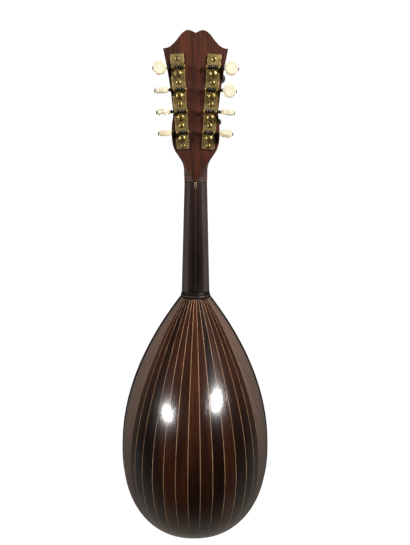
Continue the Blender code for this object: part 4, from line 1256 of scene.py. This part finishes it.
half_thick, edge_round, button_bore = 0.0028, 0.0011, 0.0015
button_profile = [(-half_thick + 0.0002, 0.0004), (-half_thick + 0.0001, 0.0030), (-half_thick, 0.0050)]
for turn in (0.1, 0.4, 0.8, 1.2, 1.5):
    along = -half_thick + edge_round * (1 - math.cos(turn))
    button_profile.append((along, button_radius - edge_round * (1 - math.sin(turn))))
button_profile += [(-along, radius) for along, radius in reversed(button_profile)]
button_master = lathe("button_disc", button_profile, sides=48)
collar_start = -button_radius - 0.0010
collar_steps = (
    (0, 0.0014), (0, 0.0022), (0.0009, 0.0024), (0.0020, 0.0027), (0.0034, 0.0028), (0.0034, 0.0014),
)
collar_profile = [(collar_start + along, radius) for along, radius in collar_steps]
cut(button_master, lathe("button_collar", collar_profile, axis="X"), "UNION")
cut(button_master, rod(button_bore, 0.04, spin(math.pi / 2, "Y"), sides=24))
button_master.data.transform(shift(button_out, 0, 0))
handled = button_master.data.attributes.new("handled", "FLOAT", "POINT")
handled_from, handled_gain = 0.55, 1.6
for vert in button_master.data.vertices:
    away = Vector((vert.co.x - button_out, vert.co.z)).length / button_radius
    handled.data[vert.index].value = max(0.0, min(1.0, (away - handled_from) * handled_gain))


def mounted(master, name, place, *fitting, smooth=35):
    """Copy a modelled piece to its place and fit it."""
    fit_piece(copied(master, name, place), *fitting, smooth=smooth)


# Both sides' machines are put together and screwed to the head. The buttons stand at the
# angles at which they were left, and no two screws' slots run the same way.
plate_at, plate_lean = (0.0182, 0.0874), math.radians(3.5)
button_turns = {"left": (0, 90, 80, 92), "right": (0, 4, 86, 108)}
machine_stands = {}
for side_name, side in (("left", -1), ("right", 1)):
    mirror = Matrix.Diagonal((side, 1, 1, 1))
    stand = head_place @ shift(side * plate_at[0], 0, plate_at[1]) @ spin(side * plate_lean, "Y")
    machine_stands[side_name] = stand
    plate_fit = ("instrument", "plate_brass")
    plate_name = f"machine_plate_{side_name}"
    mounted(plate_master, f"{plate_name}_brass", stand @ mirror, brass, *plate_fit, plate_name)
    for number, z in enumerate(screw_z):
        place = stand @ shift(0, 0, z) @ spin(0.5 + 1.9 * number + side, "Y")
        mounted(screw_master, f"plate_screw_{side_name}_{number + 1}", place, gear_brass, *plate_fit)
    for number, z in enumerate(gear_z):
        label = f"{side_name}_{number + 1}"
        shaft_fit = (f"tuner_{label}", "shaft_steel", f"worm_shaft_{label}")
        button_fit = (f"tuner_{label}", "ivory_celluloid", f"button_{label}")
        post_fit = (f"post_{label}", "gear_brass", f"gear_post_{label}")
        axle = stand @ shift(0, -gear_high, z + worm_up)
        mounted(shaft_master, f"worm_shaft_{label}_turned", axle @ mirror, steel, *shaft_fit)
        mounted(ring_master, f"shaft_rings_{label}", axle @ mirror, gear_brass, *shaft_fit)
        mounted(worm_master, f"worm_{label}", axle @ mirror, steel, *shaft_fit, smooth=60)
        turned = axle @ spin(math.radians(button_turns[side_name][number]), "X")
        mounted(button_master, f"button_{label}_ivory", turned @ mirror, ivory, *button_fit)
        seat = stand @ shift(0, 0, z)
        turned = seat @ spin(0.8 + 1.3 * number + side * 0.5, "Y")
        mounted(gear_master, f"gear_{label}", seat @ mirror, gear_brass, *post_fit)
        mounted(hub_master, f"gear_screw_{label}", turned, gear_brass, *post_fit)
        mounted(post_master, f"string_post_{label}", seat, gear_brass, *post_fit)
        mounted(ferrule_master, f"ferrule_{label}", seat, brass, *plate_fit)
masters = [plate_master, screw_master, shaft_master, ring_master, worm_master, gear_master, hub_master]
for master in masters + [post_master, ferrule_master, button_master]:
    bpy.data.objects.remove(master, do_unlink=True)

# Bridge: a low ebony bar, thinned towards its ends, with a bone saddle in its slot. Only the
# strings hold it, so it can be moved along the soundboard.
ebony = wood(
    "ebony_oiled", ("#0c0908", "#17110f", "#211815"), streak=(0.001, 0.03), pore=(0.0003, 0.003),
    roughness=0.4, polish=0.2
)
bridge_z = -scale_long
bridge_half = [
    (0.0520, fretboard_low, True), (0.0520, fretboard_low + 0.0014, True),
    (0.0440, fretboard_low + 0.0024), (0.0360, fretboard_low + 0.0046, True),
]
bridge = sawn_plate("bridge_ebony", [mirrored(bridge_half)], -0.0045, 0.0045, rounding=0.0003)
bridge.data.transform(Matrix(((1, 0, 0, 0), (0, 0, 1, 0), (0, -1, 0, bridge_z), (0, 0, 0, 1))))
slot_low, slot_wide = fretboard_low + 0.0022, 0.0026
cut(bridge, block((0, slot_low + 0.01, bridge_z), (0.065, 0.02, slot_wide)))
fit_piece(bridge, ebony, "bridge", "bridge_wood", "bridge_base")
thickest = 0.00045
string_nut = nut_top + hair + thickest
string_bridge = string_nut + 0.0023
saddle_top = string_bridge - thickest - hair
saddle_half, saddle_half_thick = 0.0320, 0.0011
saddle_low = (-saddle_half, slot_low + hair, bridge_z - saddle_half_thick)
saddle = bar("saddle_bone", saddle_low, (saddle_half, saddle_top, bridge_z + saddle_half_thick), 0.0005)
notch(saddle, string_places((0.0183, 0.0061), 0.0013), saddle_top + 0.0003, bridge_z, thickest)
fit_piece(saddle, bone, "bridge", "bone", "bridge_saddle")

# Tailpiece: a nickel-plated steel plate bent over the end of the body, where the strings'
# pull holds it, with a row of hooks for their loops. The plating has dulled in patches.
tail_metal = metal("nickel_plated_steel", ("#8f8a80", "#bfbab0"), 0.22, 0.006, 0.2)
edge_place, edge_out = rim_frame(body_end, 1)
edge_z = (edge_place + edge_out * (0.0020 + 2 * hair)).z
tail_top = board_thick + 0.0002 + board_y(edge_z) + 2 * hair
tail_half, tail_thick, tail_run = 0.0180, 0.0010, 0.0200
side_view = [
    (edge_z + tail_run, tail_top + tail_run * cant), (edge_z, tail_top), (edge_z, -0.0180),
    (edge_z + 0.0016, -0.0265), (edge_z + 0.0016 - tail_thick, -0.0269), (edge_z - tail_thick, -0.0182),
    (edge_z - tail_thick, tail_top + tail_thick),
    (edge_z + tail_run, tail_top + tail_run * cant + tail_thick),
]
tail_loops = [[(z, y, True) for z, y in side_view]]
tailpiece = sawn_plate("tailpiece_nickel", tail_loops, -tail_half, tail_half, smooth=1)
tailpiece.data.transform(Matrix(((0, 1, 0, 0), (0, 0, 1, 0), (1, 0, 0, 0), (0, 0, 0, 1))))
tidy_mesh(tailpiece)
soften(tailpiece, 0.0003, segments=2)
hooks = []
hook_run, hook_apart, hook_radius = 0.0150, 0.0038, 0.0007
hook_foot = Vector((0, tail_top + hook_run * cant, edge_z + hook_run))
hook_spots = ((0, 0.0004, 0), (0, 0.0032, -0.0002), (0, 0.0046, -0.0022))
for index in range(8):
    curve = bpy.data.curves.new("hook", "CURVE")
    curve.dimensions = "3D"
    curve.bevel_depth = hook_radius
    curve.bevel_resolution = 3
    curve.use_fill_caps = True
    curve.resolution_u = 6
    spline = curve.splines.new("BEZIER")
    spline.bezier_points.add(2)
    for knot, spot in zip(spline.bezier_points, hook_spots):
        knot.co = Vector(((index - 3.5) * hook_apart, hook_foot.y, hook_foot.z)) + Vector(spot)
        knot.handle_left_type = knot.handle_right_type = "AUTO"
    hook = bpy.data.objects.new("hook", curve)
    bpy.context.collection.objects.link(hook)
    only(hook)
    bpy.ops.object.convert(target="MESH")
    hooks.append(bpy.context.object)
tailpiece = joined("tailpiece_nickel", [tailpiece, *hooks])
fit_piece(tailpiece, tail_metal, "instrument", "tail_metal", "tailpiece")

# Strings: four pairs; the two low pairs are steel wound with copper alloy, the others plain
# steel. Each ends in a few turns round its post, which turn with the post.
wound = metal("bronze_winding", ("#8d6238", "#b98a55"), 0.35, 0.003, 0.1)
plain = metal("steel_music_wire", ("#8f8f8d", "#bcbcba"), 0.38, 0.003, 0.1)
strings = (
    ("g", 0.00045, wound, "wound_string", "right", (4, 3)),
    ("d", 0.00035, wound, "wound_string", "right", (2, 1)),
    ("a", 0.00028, plain, "plain_string", "left", (1, 2)),
    ("e", 0.00025, plain, "plain_string", "left", (3, 4)),
)
coil_rises = (0.0038, 0.0065, 0.0038, 0.0065)
coil_turns, coil_steps, coil_pitch = 4, 24, 2.1


def wire_loop(radius):
    """The round section of a wire."""
    return [(radius * math.cos(a), radius * math.sin(a)) for a in (2 * math.pi * i / 8 for i in range(8))]


for course, radius, finish, slot_name, side_name, numbers in strings:
    side = 1 if side_name == "right" else -1
    for pair, number in enumerate(numbers):
        refinish(f"string_{course}_{pair + 1}", finish)
        rise = face_low + face_thick + coil_rises[number - 1]
        seat = machine_stands[side_name] @ shift(0, 0, gear_z[number - 1])
        turn_to = seat.to_3x3()
        path = []
        for step in range(coil_turns * coil_steps + 1):
            turn = 2 * math.pi * step / coil_steps
            out = Vector((-side * math.cos(turn), 0, math.sin(turn)))
            sunk = turn / (2 * math.pi) * radius * coil_pitch
            place = out * (post_radius + radius) + Vector((0, rise - sunk, 0))
            path.append((seat @ place, turn_to @ out, turn_to @ Vector((0, 1, 0))))
        coil = run_along(f"string_coil_{course}_{pair + 1}", path, wire_loop(radius))
        fit_piece(coil, finish, f"post_{side_name}_{number}", slot_name)

# String ends: the surplus of two strings is wound into flat curls that stand out past the
# head's edge, as players leave it. The wire is tarnished, and its near-black colour also paints the shade it
# lies in.
wire, curl_bore = 0.00045, 0.0016
wire_with_painted_shade = metal("steel_wire_tarnished_painted_shade", ("#0b0a09", "#262220"), 0.45, 0.002, 0.2)
curls = (("right", 1, 0.0097, -0.0024, 0.0054), ("right", 3, 0.0105, -0.0042, 0.0038))
for side_name, number, aside, below, curl_radius in curls:
    seat = machine_stands[side_name] @ shift(0, face_low + 0.0030, gear_z[number - 1])
    middle = Vector((aside, 0, below))
    heading = math.atan2(middle.z, middle.x) + math.pi / 2
    away = Vector((math.cos(heading), 0, math.sin(heading)))
    spots = [(away * post_radius).lerp(middle + away * curl_radius, step / 12) for step in range(12)]
    for step in range(round(coil_steps * (curl_radius - curl_bore) / (coil_pitch * wire))):
        turn = heading - 2 * math.pi * step / coil_steps
        reach = curl_radius - coil_pitch * wire * step / coil_steps
        spots.append(middle + Vector((reach * math.cos(turn), 0.000006 * step, reach * math.sin(turn))))
    turn_to = seat.to_3x3()
    path = []
    ends = [spots[0], *spots, spots[-1]]
    for before, spot, after in zip(ends, spots, ends[2:]):
        along = (after - before).normalized()
        out = Vector((along.z, 0, -along.x)).normalized()
        path.append((seat @ spot, turn_to @ out, turn_to @ Vector((0, 1, 0))))
    curl = run_along(f"string_curl_{side_name}_{number}", path, wire_loop(wire))
    fit_piece(curl, wire_with_painted_shade, f"post_{side_name}_{number}", "wound_string")
